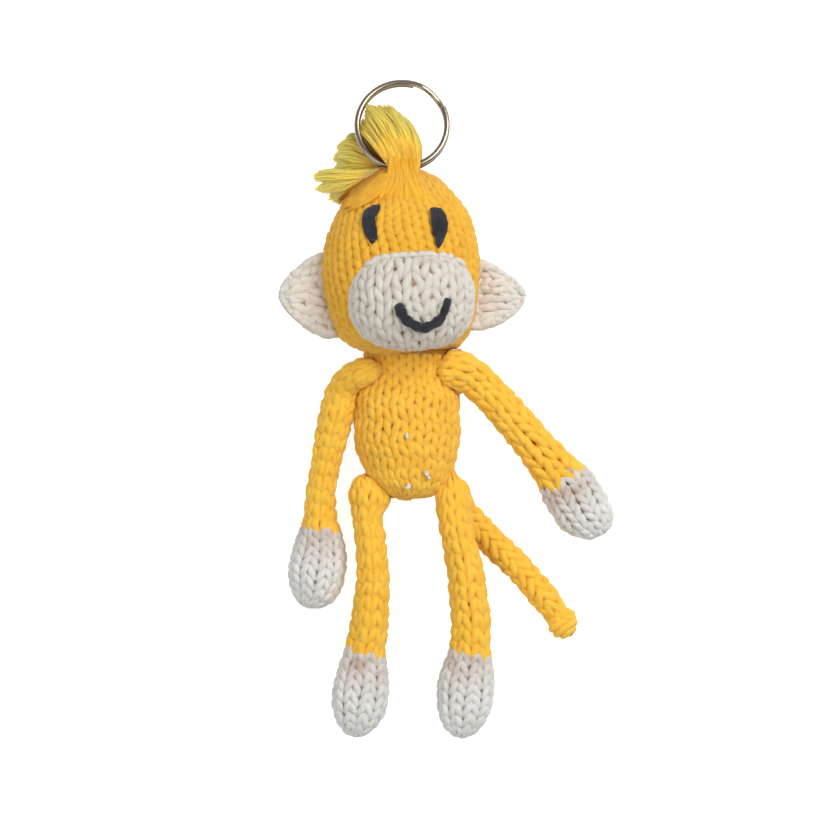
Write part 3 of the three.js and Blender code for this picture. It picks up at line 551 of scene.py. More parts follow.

# %% [markdown]
# Deep in the fabric the yarn looks darker and richer, because the light there has gone from yarn to yarn.
# That shade is painted: the depth of each point mixes in a gap colour, which costs nothing and stays the same
# in every light. Some yarns are also tinted warmer and darker near a given place, in patches.

# %% Yarn material
def yarn_material(name, light, dark, gap, sheen=0.22, deep=-0.1, clear=0.75, stain=None):
    """Cotton yarn: light and dark are its own tones, and gap is painted shade, full at deep and gone where
    clear is.
    """
    material, n = new_material(
        name, fibres="Group", depth="Attribute", near="MapRange", tones="Mix", colour="Mix", bump="Bump",
        even="MapRange",
    )
    tree = material.node_tree
    n["fibres"].node_tree = YARN_FIBRES
    n["depth"].attribute_name = "depth"
    for mix in (n["tones"], n["colour"]):
        mix.data_type = "RGBA"
    preset(n["near"], {"From Min": deep, "From Max": clear})
    preset(n["even"], {"From Min": 0.3, "From Max": 0.7})
    preset(n["tones"], {6: (*dark, 1), 7: (*light, 1)})
    preset(n["colour"], {6: (*gap, 1)})
    preset(n["bump"], {"Strength": 0.5, "Distance": 0.25 * MM})
    wire(
        tree, n, ("fibres", "Tone", "even", "Value"), ("even", "Result", "tones", 0),
        ("depth", "Fac", "near", "Value"), ("near", "Result", "colour", 0), ("tones", 2, "colour", 7),
    )
    last = "colour"
    if stain:
        n.update(nodes_of(tree, where="Attribute", share="Math", stained="Mix"))
        n["where"].attribute_name = "stain"
        n["share"].operation = "MULTIPLY"
        n["stained"].data_type = "RGBA"
        preset(n["stained"], {7: (*stain, 1)})
        wire(
            tree, n, ("where", "Fac", "share", 0), ("even", "Result", "share", 1),
            ("share", 0, "stained", 0), ("colour", 2, "stained", 6),
        )
        last = "stained"
    wire(
        tree, n, (last, 2, "shader", "Base Color"), ("fibres", "Height", "bump", "Height"),
        ("bump", "Normal", "shader", "Normal"),
    )
    preset(n["shader"], {
        "Roughness": 0.85, "Specular IOR Level": 0.25, "Sheen Weight": sheen, "Sheen Roughness": 0.5,
    })
    return material


# %% [markdown]
# The yarns of this toy. The yellow is one dye, so its three copies differ only in painted light and shade:
# deeper on the tight head, and lighter on the loose limbs, where the painted shade between stitches is
# lighter too. Ears, muzzle and the ends of the limbs are three different off-whites.

# %% Yarns
YELLOW = yarn_material(
    "yellow cotton", light=(0.94, 0.565, 0.062), dark=(0.855, 0.465, 0.040), gap=(0.36, 0.11, 0.008),
)
# The same dye as the torso, painted deeper: painted shade.
HEAD_YELLOW = yarn_material(
    "yellow cotton, painted deeper", light=(0.865, 0.49, 0.042), dark=(0.78, 0.405, 0.028), gap=(0.36, 0.11, 0.006),
)
# The same dye as the torso, painted lighter, with lighter painted shade in the gaps.
LIMB_YELLOW = yarn_material(
    "yellow cotton, loose, painted lighter", light=(0.97, 0.59, 0.062), dark=(0.90, 0.495, 0.040), gap=(0.52, 0.155, 0.009),
)
EAR_CREAM = yarn_material(
    "cream cotton, thick", light=(0.79, 0.76, 0.70), dark=(0.70, 0.665, 0.60), gap=(0.50, 0.36, 0.23),
    deep=-0.9, clear=0.3, stain=(0.80, 0.69, 0.59),
)
CREAM = yarn_material(
    "cream cotton", light=(0.72, 0.69, 0.625), dark=(0.635, 0.595, 0.525), gap=(0.42, 0.29, 0.19), clear=0.9,
)
WHITE = yarn_material(
    "white cotton", light=(0.78, 0.78, 0.76), dark=(0.68, 0.675, 0.64), gap=(0.38, 0.29, 0.21),
    stain=(0.52, 0.38, 0.30),
)
BLACK = yarn_material(
    "black cotton", light=(0.034, 0.036, 0.046), dark=(0.015, 0.016, 0.021), gap=(0.006, 0.006, 0.008),
    sheen=0.2,
)
GOLDEN = yarn_material(
    "golden fibre", light=(0.90, 0.50, 0.042), dark=(0.84, 0.42, 0.030), gap=(0.45, 0.14, 0.006),
    sheen=0.05,
)

# %% [markdown]
# Each piece is told which body carries it and which CAD nodes it stands for, and those nodes are hidden. A
# piece that crosses a seam is given two bodies and the stretch between them, and it stays where it is, on no
# body.

# %% Placing pieces
def dress(piece, material, slot, body, *nodes):
    """Give a piece its material and its place in the frame."""
    piece.data.materials.append(material)
    if isinstance(body, str):
        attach(piece, body)
    else:
        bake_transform(piece)
    if nodes:
        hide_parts(*nodes)
    return piece


def stained(piece, place, reach):
    """Note how near each point is to a place where the yarn is tinted warmer, in millimetres."""
    points = np.zeros(3 * len(piece.data.vertices), np.float32)
    piece.data.vertices.foreach_get("co", points)
    away = np.linalg.norm(points.reshape(-1, 3) / MM - place, axis=1)
    near = np.clip(1.6 * (1 - away / reach), 0, 1).astype(np.float32)
    piece.data.attributes.new("stain", "FLOAT", "POINT").data.foreach_set("value", near)


# %% [markdown]
# The solid of the torso is closed at its top, and real knitting is open there and drawn in by the neck's
# yarn. So the fabric gets a neck: an oval ring, with rows laid from it to where the piece is wide enough.

# %% Opening a neck
NECK_ROWS = 8


def with_neck(surface, middle, half, width):
    """The surface with its closed top opened into a neck, from where the piece is width wide."""
    grid = surface.grid
    first = np.argmax(np.ptp(grid[..., 0], axis=1) > width * MM)
    turn = np.linspace(0, 2 * math.pi, TURNS, endpoint=False)
    ring = np.stack([-half[0] * np.sin(turn), 0 * turn, -half[1] * np.cos(turn)], axis=1)
    ring = (ring + middle) * MM
    share = np.linspace(0, 1, NECK_ROWS + 1)[:-1, None, None]
    neck = ring * (1 - share) + grid[first] * share
    return Surface(evenly(smoothed(np.concatenate([neck, grid[first:]]), 3), ROWS_KEPT))


# %% [markdown]
# Where the last stitches of a piece are drawn together, the end of the yarn is wound round and sewn in. It
# shows as a small ball of yarn, wound from pole to pole.

# %% Wound ends
POINTS_PER_WINDING = 40


def wound_ball(middle, along, half, turns=5, yarn=0.95 * MM):
    """Yarn wound round the end of a cord: half is half its length, width and height in millimetres."""
    along = along / np.linalg.norm(along)
    side, up = np.cross(along, at(0, 0, 1)), at(0, 0, 1)
    share = np.linspace(0, 1, POINTS_PER_WINDING * turns)
    rise, turn = 1.45 * (2 * share - 1), 2 * math.pi * turns * share
    out = side * (half[1] * np.cos(turn) * np.cos(rise))[:, None]
    out = out + up * (half[2] * np.sin(turn) * np.cos(rise))[:, None]
    out = out + along * (half[0] * np.sin(rise))[:, None]
    return strands((middle + out) * MM, yarn, out)


# %% [markdown]
# The torso is a tube of 17 stitches round, worked from the neck down and drawn together at the bottom. It is
# stuffed, so it keeps its form, and its stuffing is noted down with it.

# %% Torso
TORSO = dict(start=at(0, 18.7, 11.5), end=at(0, -20.1, 10), reach=30, fill=8, straight=True)
TORSO_STITCHES = 17
TORSO_ROW = 3.35 * MM
NECK_OPENING = dict(middle=at(-0.3, 21, 12.0), half=(11.3, 7.0), width=22.5)
TORSO_PUSHES = [
    (0.8, 0.12, at(0.5, 0, 0), -0.045), (0.68, 0.08, at(0.3, 0, 0), -0.055), (1.0, 0.07, at(-0.4, 0.8, 0)),
]

torso = pushed(with_neck(sleeve(["torso_cover"], **TORSO), **NECK_OPENING), TORSO_PUSHES)
torso_rows = round(torso.length() / TORSO_ROW)
print("torso rows", torso_rows)
closing = torso.grid[-1].mean(axis=0) / MM + at(0, 0.7, 0)
torso_knit = mesh_piece("torso_knit", [
    *knit(torso, TORSO_STITCHES, torso_rows, 11), lining(torso, 2.2 * MM),
    wound_ball(closing, at(0, -1, 0), (0.9, 2.4, 2.4), turns=4, yarn=0.8 * MM),
])
dress(torso_knit, YELLOW, "yellow_knit", "torso", "torso_cover")
stuffing_in(torso, "torso_stuffing", "torso")

# %% [markdown]
# The head is a wider tube of 23 stitches. At the crown the stitches are drawn together on the hanging loop,
# so the first rows are taller. It has the most stitches of all, so each gets fewer points along its yarn.

# %% Head
HEAD = dict(start=at(-1.3, 69, 9), end=at(0, 18.6, 12), reach=45, swell=0.8, fill=12, straight=True)
HEAD_STITCHES = 23
HEAD_ROW = 3.25 * MM
HEAD_YARN = 1.2 * MM
HEAD_PUSHES = [(0.45, 0.12, at(-0.3, 0, 0), 0.01), (0.85, 0.1, at(-0.7, -0.3, 0))]

head = pushed(sleeve(["head_cover"], **HEAD), HEAD_PUSHES)
head_rows = round(head.length() / HEAD_ROW)
print("head rows", head_rows)
head_stitches = knit(head, HEAD_STITCHES, head_rows, 21, yarn=HEAD_YARN, drawn=1.0, least=0.6, points=14)
head_knit = mesh_piece("head_knit", [*head_stitches, lining(head, 4.2 * MM)])
dress(head_knit, HEAD_YELLOW, "yellow_knit", "head", "head_cover")
stuffing_in(head, "head_stuffing", "head", 5.4)

# %% [markdown]
# Arms and legs are narrow tubes, sewn to the body at their root. The arms are sewn on flat and bend away
# from there, so their first rows are laid anew along a bent line. The legs only reach a little further into
# the body.

# %% Roots of the limbs
def sewn_on(surface, rows, start, reach, arch):
    """The surface with its first rows laid anew, so that the limb bends away from where it is sewn on."""
    grid = surface.grid
    middles = grid.mean(axis=1)
    ring = grid[rows] - middles[rows]
    last = Vector(middles[rows + 2] - middles[rows]).normalized()
    towards = middles[rows] - np.array(last) * reach * MM
    share = np.linspace(0, 1, rows + 1)[:, None]
    bend = start * MM * (1 - share) ** 2 + towards * 2 * share * (1 - share) + middles[rows] * share**2
    bend[:, 2] += arch * MM * (np.sin(math.pi * share**0.6) * (1 - share))[:, 0]
    ways = np.gradient(bend, axis=0)
    for row in range(rows):
        turned = np.array(last.rotation_difference(Vector(ways[row]).normalized()).to_matrix())
        narrower = 0.9 + 0.1 * row / rows
        grid[row] = bend[row] + (ring @ turned.T) * min(row / 2.5, 1) ** 0.5 * narrower
    return Surface(evenly(smoothed(grid, 3), ROWS_KEPT))


def drawn_out(surface, share, shift):
    """The surface with its first rows moved, so that it reaches further into the piece it is sewn to."""
    along = np.linspace(0, 1, len(surface.grid))
    pull = np.clip(1 - along / share, 0, 1) ** 1.5
    surface.grid = surface.grid + pull[:, None, None] * shift * MM
    return surface


# %% [markdown]
# What sets the four limbs apart: where each starts and ends, how many stitches it has round, how high a row
# is, where the yarn changes, and the stretch of its root near the joint. Each push is a place along the limb,
# how wide the push is, a shift, and by what share the limb gets wider. All sizes are in millimetres.

# %% Limbs, their sizes
LIMBS = {
    "left_arm": dict(
        end="left_hand", start=at(-15, 18.8, 12), tip=at(-27, -48.5, 5), reach=17, wales=7, row=3.7,
        change=at(-25, -26, 7), seed=31, root=(at(-14, 16, 12), at(-20, 6, 10)), swell=0.5,
        sewn=dict(rows=13, start=at(-6.8, 14.5, 11.5), reach=9, arch=7),
        pushes=[
            (0.33, 0.09, at(0.65, 0, 0), 0.14), (0.55, 0.12, at(0.1, 0, 0), -0.09),
            (0.74, 0.09, at(0.3, 0, 0), -0.05), (0.95, 0.08, at(0.6, -0.3, 0), 0.06),
        ],
    ),
    "right_arm": dict(
        end="right_hand", start=at(12, 18, 12), tip=at(53, -30, 5), reach=16, wales=6, row=3.9,
        change=at(42, -14, 7), seed=41, root=(at(14, 16, 12), at(22, 10, 10)), swell=0.5,
        sewn=dict(rows=13, start=at(8.6, 13.4, 10), reach=8, arch=5),
        pushes=[
            (0.13, 0.1, at(0.2, 0.8, 0), 0.08), (0.55, 0.15, at(-0.1, -0.2, 0)),
            (0.97, 0.09, at(1.9, 0.5, 0)),
        ],
    ),
    "left_leg": dict(
        end="left_foot", start=at(-9.4, -16, 9), tip=at(-13, -82.6, 6), reach=18, wales=7, row=4.1,
        change=at(-11, -60, 6), seed=51, root=(at(-9.4, -17, 10), at(-9.4, -27, 8)), swell=0.5,
        reach_in=at(-0.8, 3.8, 0),
        pushes=[
            (0.1, 0.05, at(-0.3, 0, 0)), (0.165, 0.04, at(-0.5, 0, 0), -0.12), (1.0, 0.05, at(0, -0.5, 0)),
        ],
    ),
    "right_leg": dict(
        end="right_foot", start=at(12.6, -16, 9), tip=at(15, -82.9, 6), reach=18, wales=7, row=4.1,
        change=at(14, -60, 6), seed=61, root=(at(12.6, -17, 10), at(12.6, -27, 8)), swell=0.7,
        reach_in=at(-1.8, 4, 0),
        pushes=[
            (0.33, 0.14, at(0.3, 0, 0), 0.07), (0.2, 0.07, at(-0.4, 0, 0)),
            (0.06, 0.07, at(0.5, 0, 0), -0.22), (0.7, 0.1, at(0.3, 0, 0)),
            (0.85, 0.08, at(0.4, 0, 0), -0.04), (1.0, 0.06, at(-0.3, -0.4, 0)),
        ],
    ),
}

# %% [markdown]
# Each limb is knitted in yellow down to the colour change. The hand or foot is knitted on in white, in a
# thinner yarn with two stitches more round and lower rows. Both share one surface, so the limb has no step
# there. The yellow part is given the stretch between torso and limb and stays where it is, and the end rides
# on the limb.

# %% Limbs, their knitting
LIMB_SLANT = 0.235
LIMB_YARN = dict(yarn=1.08 * MM, slant=LIMB_SLANT, swing=0.75 * MM)
END_YARN = dict(yarn=0.92 * MM, slant=LIMB_SLANT, swing=0.65 * MM)
END_FINER = 1.3
END_OVERLAP = 0.35
WARM_TINT_REACH = 12
ROOT_SHARE = 0.16

for name, limb in LIMBS.items():
    surface = sleeve([name, limb["end"]], limb["start"], limb["tip"], limb["reach"], limb["swell"])
    if "sewn" in limb:
        surface = sewn_on(surface, **limb["sewn"])
    else:
        surface = drawn_out(surface, ROOT_SHARE, limb["reach_in"])
    surface = pushed(surface, limb["pushes"])
    rows = round(surface.length() / (limb["row"] * MM))
    places = surface.at(np.linspace(0, 1, 200)[:, None], np.arange(8)[None, :] / 8).mean(axis=1)
    share = np.linalg.norm(places - limb["change"] * MM, axis=1).argmin() / 199
    change = round(share * rows)
    print(name, "rows", rows, "colour change after", change)
    yellow = knit(surface, limb["wales"], rows, limb["seed"], 0, change, **LIMB_YARN)
    end_rows = round(rows * END_FINER)
    first = end_rows * change / rows - END_OVERLAP
    white = knit(surface, limb["wales"] + 2, end_rows, limb["seed"], first, end_rows, **END_YARN)
    limb_knit = mesh_piece(name + "_knit", [*yellow, lining(surface, 2.1 * MM)])
    end_knit = mesh_piece(limb["end"] + "_knit", [*white, lining(surface, 1.8 * MM, start=share + 0.02)])
    # Tinted warmer and darker near where the white end meets the yellow.
    stained(end_knit, limb["change"] + at(0, 0, 5), WARM_TINT_REACH)
    bend = ("torso", name, *(tuple(p * MM) for p in limb["root"]))
    dress(limb_knit, LIMB_YELLOW, "yellow_knit", bend, name)
    dress(end_knit, WHITE, "white_knit", name, limb["end"])
    stuffing_in(surface, name + "_stuffing", bend, 3.2)

# %% [markdown]
# The tail is a cord of four stitches, too thin to be stuffed. The solid ends flat, so the end is made
# round, and the last yarn is wound into a small ball. Its root lies under the torso, beside the right leg.

# %% Tail
TAIL = dict(start=at(7, -16, 3), end=at(42, -56, 3), reach=12, swell=1.0)
TAIL_STITCHES = 4
TAIL_ROW = 3.6 * MM
TAIL_ROUND = 3.4
TAIL_BALL = dict(middle=at(41.2, -52.7, 3.4), along=at(0.7, -0.75, 0), half=(3.2, 3.2, 2.2))
TAIL_ROOT = (at(8, -17, 3), at(13, -24, 3))
TAIL_PUSHES = [
    (0.02, 0.14, at(2.9, 4.0, 1.8), -0.1), (0.2, 0.12, at(-0.2, -0.2, 0), 0.12),
    (0.4, 0.2, at(-0.4, -0.4, 0)),
]


def rounded(surface, radius):
    """The surface with its flat end made round, as where the last stitches of a cord are drawn together."""
    grid = surface.grid
    middles = grid.mean(axis=1)
    reach = np.linalg.norm(grid - middles[:, None], axis=2).mean(axis=1)
    last = np.flatnonzero(reach > 0.75 * np.median(reach)).max()
    forward = middles[last] - middles[last - 6]
    forward = forward / np.linalg.norm(forward)
    first = np.argmax(np.linalg.norm(middles - middles[last], axis=1) < radius * MM)
    turn = np.linspace(0, math.pi / 2, 10)[:, None, None]
    rim = grid[first] - middles[first]
    end = middles[first] + rim * np.cos(turn) + forward * radius * MM * np.sin(turn)
    return Surface(evenly(np.concatenate([grid[:first], end]), ROWS_KEPT))


tail = rounded(pushed(sleeve(["tail"], **TAIL), TAIL_PUSHES), TAIL_ROUND)
tail = pushed(tail, [(0.84, 0.04, at(-0.1, -0.1, 0), -0.15)])
tail_rows = round(tail.length() / TAIL_ROW)
print("tail rows", tail_rows)
tail_knit = mesh_piece("tail_knit", [
    *knit(tail, TAIL_STITCHES, tail_rows, 71, yarn=1.12 * MM, slant=0.26, swing=0.9 * MM),
    lining(tail, 1.8 * MM), wound_ball(**TAIL_BALL),
])
tail_bend = ("torso", "tail", *(tuple(p * MM) for p in TAIL_ROOT))
dress(tail_knit, LIMB_YELLOW, "yellow_knit", tail_bend, "tail")

# %% [markdown]
# Ears and muzzle are flat knitting drawn round: a square patch whose corners are pulled in, so its columns
# of stitches bow outward with the outline. The surface of each is read from rays that fan out from its
# middle like a dome. A ray that misses the solid's rim is tilted up until it meets it.

# %% Domes
RAY_START = 40 * MM
DOME_SWELL = 0.45
TILT_STEP = 0.03


def dome(node, middle, half, side=1, lines=33):
    """Points over one side of a rounded piece: rows from top to bottom, columns from left to right."""
    target, middle = outside_of(node)[0], Vector(middle * MM)
    grid = np.zeros((lines, lines, 3))
    for i, b in enumerate(np.linspace(1, -1, lines)):
        for j, a in enumerate(np.linspace(-1, 1, lines)):
            p, q = a * math.sqrt(1 - b * b / 2), b * math.sqrt(1 - a * a / 2)
            tilt, turn = min(math.hypot(p, q), 1) * math.pi / 2, math.atan2(q, p)
            hit = None
            while hit is None:
                flat, high = math.sin(tilt), side * math.cos(tilt)
                ways = (flat * math.cos(turn), flat * math.sin(turn), high)
                out = Vector([way * size for way, size in zip(ways, half)])
                out.normalize()
                hit = target.ray_cast(middle + out * RAY_START, -out, RAY_START)[0]
                tilt -= TILT_STEP
            grid[i, j] = hit + out * DOME_SWELL * MM
    return smoothed(grid, 2, wraps=False)


# %% [markdown]
# Each ear is a doubled patch, knitted outward from the head with thick, loose stitches. Front and back are
# one ring of fabric here, so the rim has no gap. The ears are not alike: for each, tall is its height as a
# share of the solid's, up moves it, and cut and cut_above take off its outer corners, in millimetres.

# %% Ears
EAR_HALF = (6.6, 12, 2.4)
EAR_ROUND = (20, 14, 2.4)
EAR_WIDTH = 13
EAR_POINTED = 0.22
EAR_ROOT_DRAWN = 3.2 * MM
EAR_STITCHES = 12
EAR_ROWS = 6
EARS = {
    "left_ear": dict(middle=at(-27, 34, 14), outward=-1, tall=0.97, up=0.4, cut=4.0, cut_above=3.4),
    "right_ear": dict(middle=at(24.4, 34, 14), outward=1, tall=0.8, up=0.6, cut=0, cut_above=5.0),
}


def ear_surface(name, middle, outward, tall, up, cut, cut_above):
    """Front and back of an ear in one ring, drawn to the ear's own outline."""
    front, back = dome(name, middle, EAR_HALF), dome(name, middle, EAR_HALF, side=-1)
    both = np.concatenate([front, back[::-1]], axis=0).transpose(1, 0, 2)[::outward]
    beyond = np.clip((both[..., 0] / MM - middle[0]) * outward / EAR_WIDTH + 0.5, 0, 1)
    both[..., 0] -= outward * EAR_ROOT_DRAWN * (1 - beyond) ** 2
    below = np.clip((middle[1] - both[..., 1] / MM) / EAR_HALF[1], 0, 1)
    both[..., 1] += (middle[1] * MM - both[..., 1]) * (EAR_POINTED * beyond + 1 - tall)
    above = np.clip((both[..., 1] / MM - middle[1]) / EAR_HALF[1], 0, 1)
    both[..., 1] += (up + (cut * below - cut_above * above) * np.clip(beyond - 0.2, 0, 1)) * MM
    return Surface(evenly(both, 24), dome_of=(middle, EAR_ROUND))


for name, ear in EARS.items():
    surface, outward = ear_surface(name, **ear), ear["outward"]
    centre = surface.grid.mean(axis=(0, 1))
    inside = Surface(centre + (surface.grid - centre) * at(0.86, 0.88, 0.25))
    stitches = knit(
        surface, EAR_STITCHES, EAR_ROWS, 81 + outward, -0.2, EAR_ROWS, yarn=1.3 * MM, loose=1.8, turned=0.03,
        full=0.34, least=0.6,
    )
    ear_knit = mesh_piece(name + "_knit", [*stitches, lining(inside, 0)])
    # Tinted warmer near where the ear meets the head.
    stained(ear_knit, ear["middle"] - at(outward * 5, 0, 0), WARM_TINT_REACH)
    dress(ear_knit, EAR_CREAM, "white_knit", name, name)

# %% [markdown]
# The muzzle is one patch of cream knitting, sewn on over padding. It is worked flat, so each row is a strand
# of its own, and the rows don't run on round the piece. It has its own inner side too: a tray that closes it
# underneath, painted in the gap colour as shade.

# %% Flat knitting
def knit_flat(surface, wales, rows, seed, yarn):
    """The yarn of a flat patch: one strand for each row of stitches."""
    t = np.tile(np.linspace(-math.pi, math.pi, POINTS_PER_STITCH, endpoint=False), wales)
    stitch = np.repeat(np.arange(wales), POINTS_PER_STITCH)
    across = (stitch + 0.5 + LEG_SLANT * np.sin(2 * t) + t / (2 * math.pi)) / wales
    across = np.broadcast_to(across, (rows, len(t)))
    down = (np.arange(rows)[:, None] + 0.5 - LOOP_HEIGHT * np.cos(t)) / rows
    front = np.broadcast_to(-np.cos(2 * t), across.shape)
    around = np.clip(across + drift(seed, across, down, 0.1) / wales, 0, 1)
    along = np.clip(down + drift(seed + 1, across, down, 0.12) / rows, 0, 1)
    width = surface.girth(along) / wales
    radius = np.minimum(yarn, width * 0.27) * (1 + 0.05 * front + drift(seed + 2, across, down, 0.05, 9, 14))
    lift = FABRIC_SWING * (front - 1) - radius + drift(seed + 3, across, down, 0.12 * MM, 7, 10)
    return laid(surface, along, around, lift, radius, front, seed)


def lining_flat(surface, below, lumps=0.0, seed=0, size=40):
    """The inner side of a flat patch, or the stuffing under it: its top follows the patch."""
    along, around = np.meshgrid(np.linspace(0, 1, size), np.linspace(0, 1, size), indexing="ij")
    below = below + drift(seed, around, along, lumps, 9, 9)
    top = surface.at(along, around) - surface.normal(along, around) * below[..., None]
    bottom = top.copy()
    bottom[..., 2] = np.minimum(bottom[..., 2], top[..., 2].min()) - 1.0 * MM
    points = np.concatenate([top.reshape(-1, 3), bottom.reshape(-1, 3)])
    index = np.arange(size * size).reshape(size, size)
    upper = np.stack([index[:-1, :-1], index[1:, :-1], index[1:, 1:], index[:-1, 1:]], axis=2).reshape(-1, 4)
    lower = upper[:, ::-1] + size * size
    rim = np.concatenate([index[0, :-1], index[:-1, -1], index[-1, :0:-1], index[:0:-1, 0]])
    after = np.roll(rim, -1)
    wall = np.stack([rim, after, after + size * size, rim + size * size], axis=1)
    faces = np.concatenate([upper, lower, wall])
    # A depth of -1 paints the whole tray in the gap colour: painted shade.
    uv, depth = np.zeros((faces.size, 2)), np.full(len(points), -1.0)
    return {"points": points, "faces": faces, "uv": uv, "depth": depth}


# %% [markdown]
# The upper edge of the patch is cast off: a chain of slanting stitches lies along it. A plain edge of V
# stitches would look unfinished there, and the photograph shows the chain.

# %% Muzzle
MUZZLE = (at(1.2, 32.5, 22), (17, 12.7, 16))
MUZZLE_STITCHES = 10
MUZZLE_ROWS = 10


def cast_off(surface, stitches, seed, yarn):
    """The chain of slanting stitches that closes the upper edge of a flat patch."""
    draw = np.random.RandomState(seed)
    middles = np.linspace(0.08, 0.92, stitches) + draw.uniform(-0.015, 0.015, stitches)
    reach = np.linspace(-1, 1, 9)
    around = middles[:, None] + reach * 0.6 / stitches
    lean = draw.uniform(-0.05, 0.08, (stitches, 1))
    along = 0.05 - lean * reach + draw.uniform(-0.015, 0.015, (stitches, 1))
    normals = surface.normal(along, around)
    path = surface.at(along, around) + normals * (0.1 * MM - 0.9 * MM * reach[:, None] ** 2)
    radius = yarn * (0.75 + 0.25 * np.cos(reach * math.pi / 2))
    return strands(path, radius, normals)


muzzle = Surface(dome("muzzle_cover", *MUZZLE), wraps=False, dome_of=MUZZLE)
muzzle.grid[..., 0] = muzzle.grid[..., 0] * 0.985 + 0.12 * MM
muzzle_knit = mesh_piece("muzzle_knit", [
    *knit_flat(muzzle, MUZZLE_STITCHES, MUZZLE_ROWS, 91, 1.12 * MM),
    cast_off(muzzle, MUZZLE_STITCHES + 1, 94, 0.9 * MM), lining_flat(muzzle, 2.0 * MM),
])
dress(muzzle_knit, CREAM, "white_knit", "head", "muzzle_cover")
stuffing_in(muzzle, "muzzle_stuffing", "head", 3.4, lining_flat)

# %% [markdown]
# Eyes and mouth are embroidered in black after the knitting, so they lie on the surface. Where they lie is
# read off the photograph: one pixel is 0.265 mm, and the middle of the object is at a known pixel.

# %% Places in the photograph
PIXEL = 0.265
PHOTO_MIDDLE = (407, 425)
DOWNWARD = Vector((0, 0, -1))


def photo(x, y):
    """Where a pixel of the photograph lies, in metres from the middle of the object."""
    right = np.asarray(x, float) - PHOTO_MIDDLE[0]
    up = PHOTO_MIDDLE[1] - np.asarray(y, float)
    return right * PIXEL * MM, up * PIXEL * MM


def on_top(target, x, y):
    """The point of a surface straight below a point, and which way it faces."""
    hit, facing = target.ray_cast(Vector((x, y, 0.1)), DOWNWARD, 0.2)[:2]
    return (np.array(hit), np.array(facing)) if hit is not None else (None, None)


def thread_over(target, x, y, rise):
    """A path over a surface through pixels of the photograph, raised off it, and which way it faces."""
    found = [on_top(target, *place) for place in zip(*photo(x, y))]
    path = [point + facing * r for (point, facing), r in zip(found, rise)]
    return np.array(path), np.array([facing for _, facing in found])


# %% [markdown]
# The eyes are satin stitch: seven threads side by side fill an almond, longer in the middle than at the
# sides. The outline is a few rows of a height and the left and right edge there, in pixels.

# %% Eyes
EYE_THREADS = 7
EYE_THREAD = 0.5 * MM
EYE_OUTLINES = {
    "left_eye": [
        (205.5, 378.4, 380.4), (209.5, 370.5, 381.2), (213, 366, 379.8), (220, 364.2, 375.2),
        (227, 364.8, 376.5), (233, 366.4, 377.8), (239, 369.5, 377), (245, 372.4, 373.8),
    ],
    "right_eye": [
        (208.5, 430.5, 435), (211, 429.8, 440), (217, 430, 444), (224.7, 430.8, 446),
        (232, 432, 445), (239, 433.8, 441.8), (248.5, 436.6, 437.8),
    ],
}


def eye(name, outline, target, steps=16):
    """Satin stitch inside an outline, on top of the head."""
    outline = np.array(outline, float)
    heights = np.linspace(outline[0, 0], outline[-1, 0], steps)
    left, right = (np.interp(heights, outline[:, 0], outline[:, k]) for k in (1, 2))
    arch = np.sin(np.linspace(0, math.pi, steps))
    threads = []
    for share in np.linspace(0.1, 0.9, EYE_THREADS):
        rise = 0.6 * MM * arch**0.5 * (0.75 + 0.5 * math.sin(math.pi * share)) + 0.7 * MM
        threads.append(thread_over(target, left + (right - left) * share, heights, rise))
    paths, facings = zip(*threads)
    radius = EYE_THREAD * (0.5 + 0.5 * arch**0.4)
    piece = mesh_piece(name + "_threads", [strands(np.array(paths), radius, np.array(facings), 8)])
    return dress(piece, BLACK, "black_yarn", "head", name)


head_skin = outside_of("head_cover")[0]
for name, outline in EYE_OUTLINES.items():
    eye(name, outline, head_skin)

# %% [markdown]
# The smile is back stitch, one thick stitch after another along a curve. Each is given by where it goes in
# and comes out, in pixels, and by half its thickness in millimetres. It sinks in at both ends.

# %% Smile
SMILE_STITCHES = [
    ((398, 305), (404, 317), 1.5), ((402, 315), (412.5, 324.5), 1.45), ((410.5, 322.5), (422, 328), 1.35),
    ((420, 328.5), (433, 324), 1.35), ((431, 325.5), (443, 315.5), 1.4), ((441.5, 317.5), (448.3, 298), 1.1),
]


def smile(target, steps=12):
    """Back stitches on top of the muzzle."""
    share = np.linspace(0, 1, steps)
    arch = np.sin(np.linspace(0, math.pi, steps))
    rise = 0.9 * MM * arch**0.6 - 0.2 * MM
    parts = []
    for a, b, thick in SMILE_STITCHES:
        x, y = a[0] + (b[0] - a[0]) * share, a[1] + (b[1] - a[1]) * share
        path, facing = thread_over(target, x, y, rise)
        parts.append(strands(path, thick * MM * (0.72 + 0.28 * arch**0.5), facing, 12))
    return dress(mesh_piece("smile", parts), BLACK, "black_yarn", "head", "mouth")


smile(outside_of("muzzle_cover")[0])

# %% [markdown]
# A gathering yarn goes twice round the neck and draws the stitches of the head and of the torso in to it.
# Two turns of a thin yarn are enough, since little of it shows.

# %% Neck
NECK_HALF = (10.6, 6.5)
NECK_YARN = 0.55 * MM
neck_middle = np.array(JOINTS["neck_turn"]["pos_m"])
turn = np.linspace(0, 4 * math.pi, 140)
climb = 1.3 + 0.3 * np.sin(turn / 2)
neck_turns = np.stack([-NECK_HALF[0] * np.sin(turn), climb, -NECK_HALF[1] * np.cos(turn)], axis=1)
# A depth of 0.1 paints this yarn nearly all in the gap colour: painted shade where the neck lies deep between
# head and torso.
neck_strand = strands(neck_middle + neck_turns * MM, NECK_YARN, neck_turns, depth=0.1)
neck = mesh_piece("neck_gathering_yarn", [neck_strand])
dress(neck, YELLOW, "yellow_knit", "torso", "neck_seam")

# %% [markdown]
# The hanging loop is a ring of yellow yarn that the split ring's wire runs through. Nine turns lie side by
# side, and it rides on its own body, because it tips when the ring is lifted.

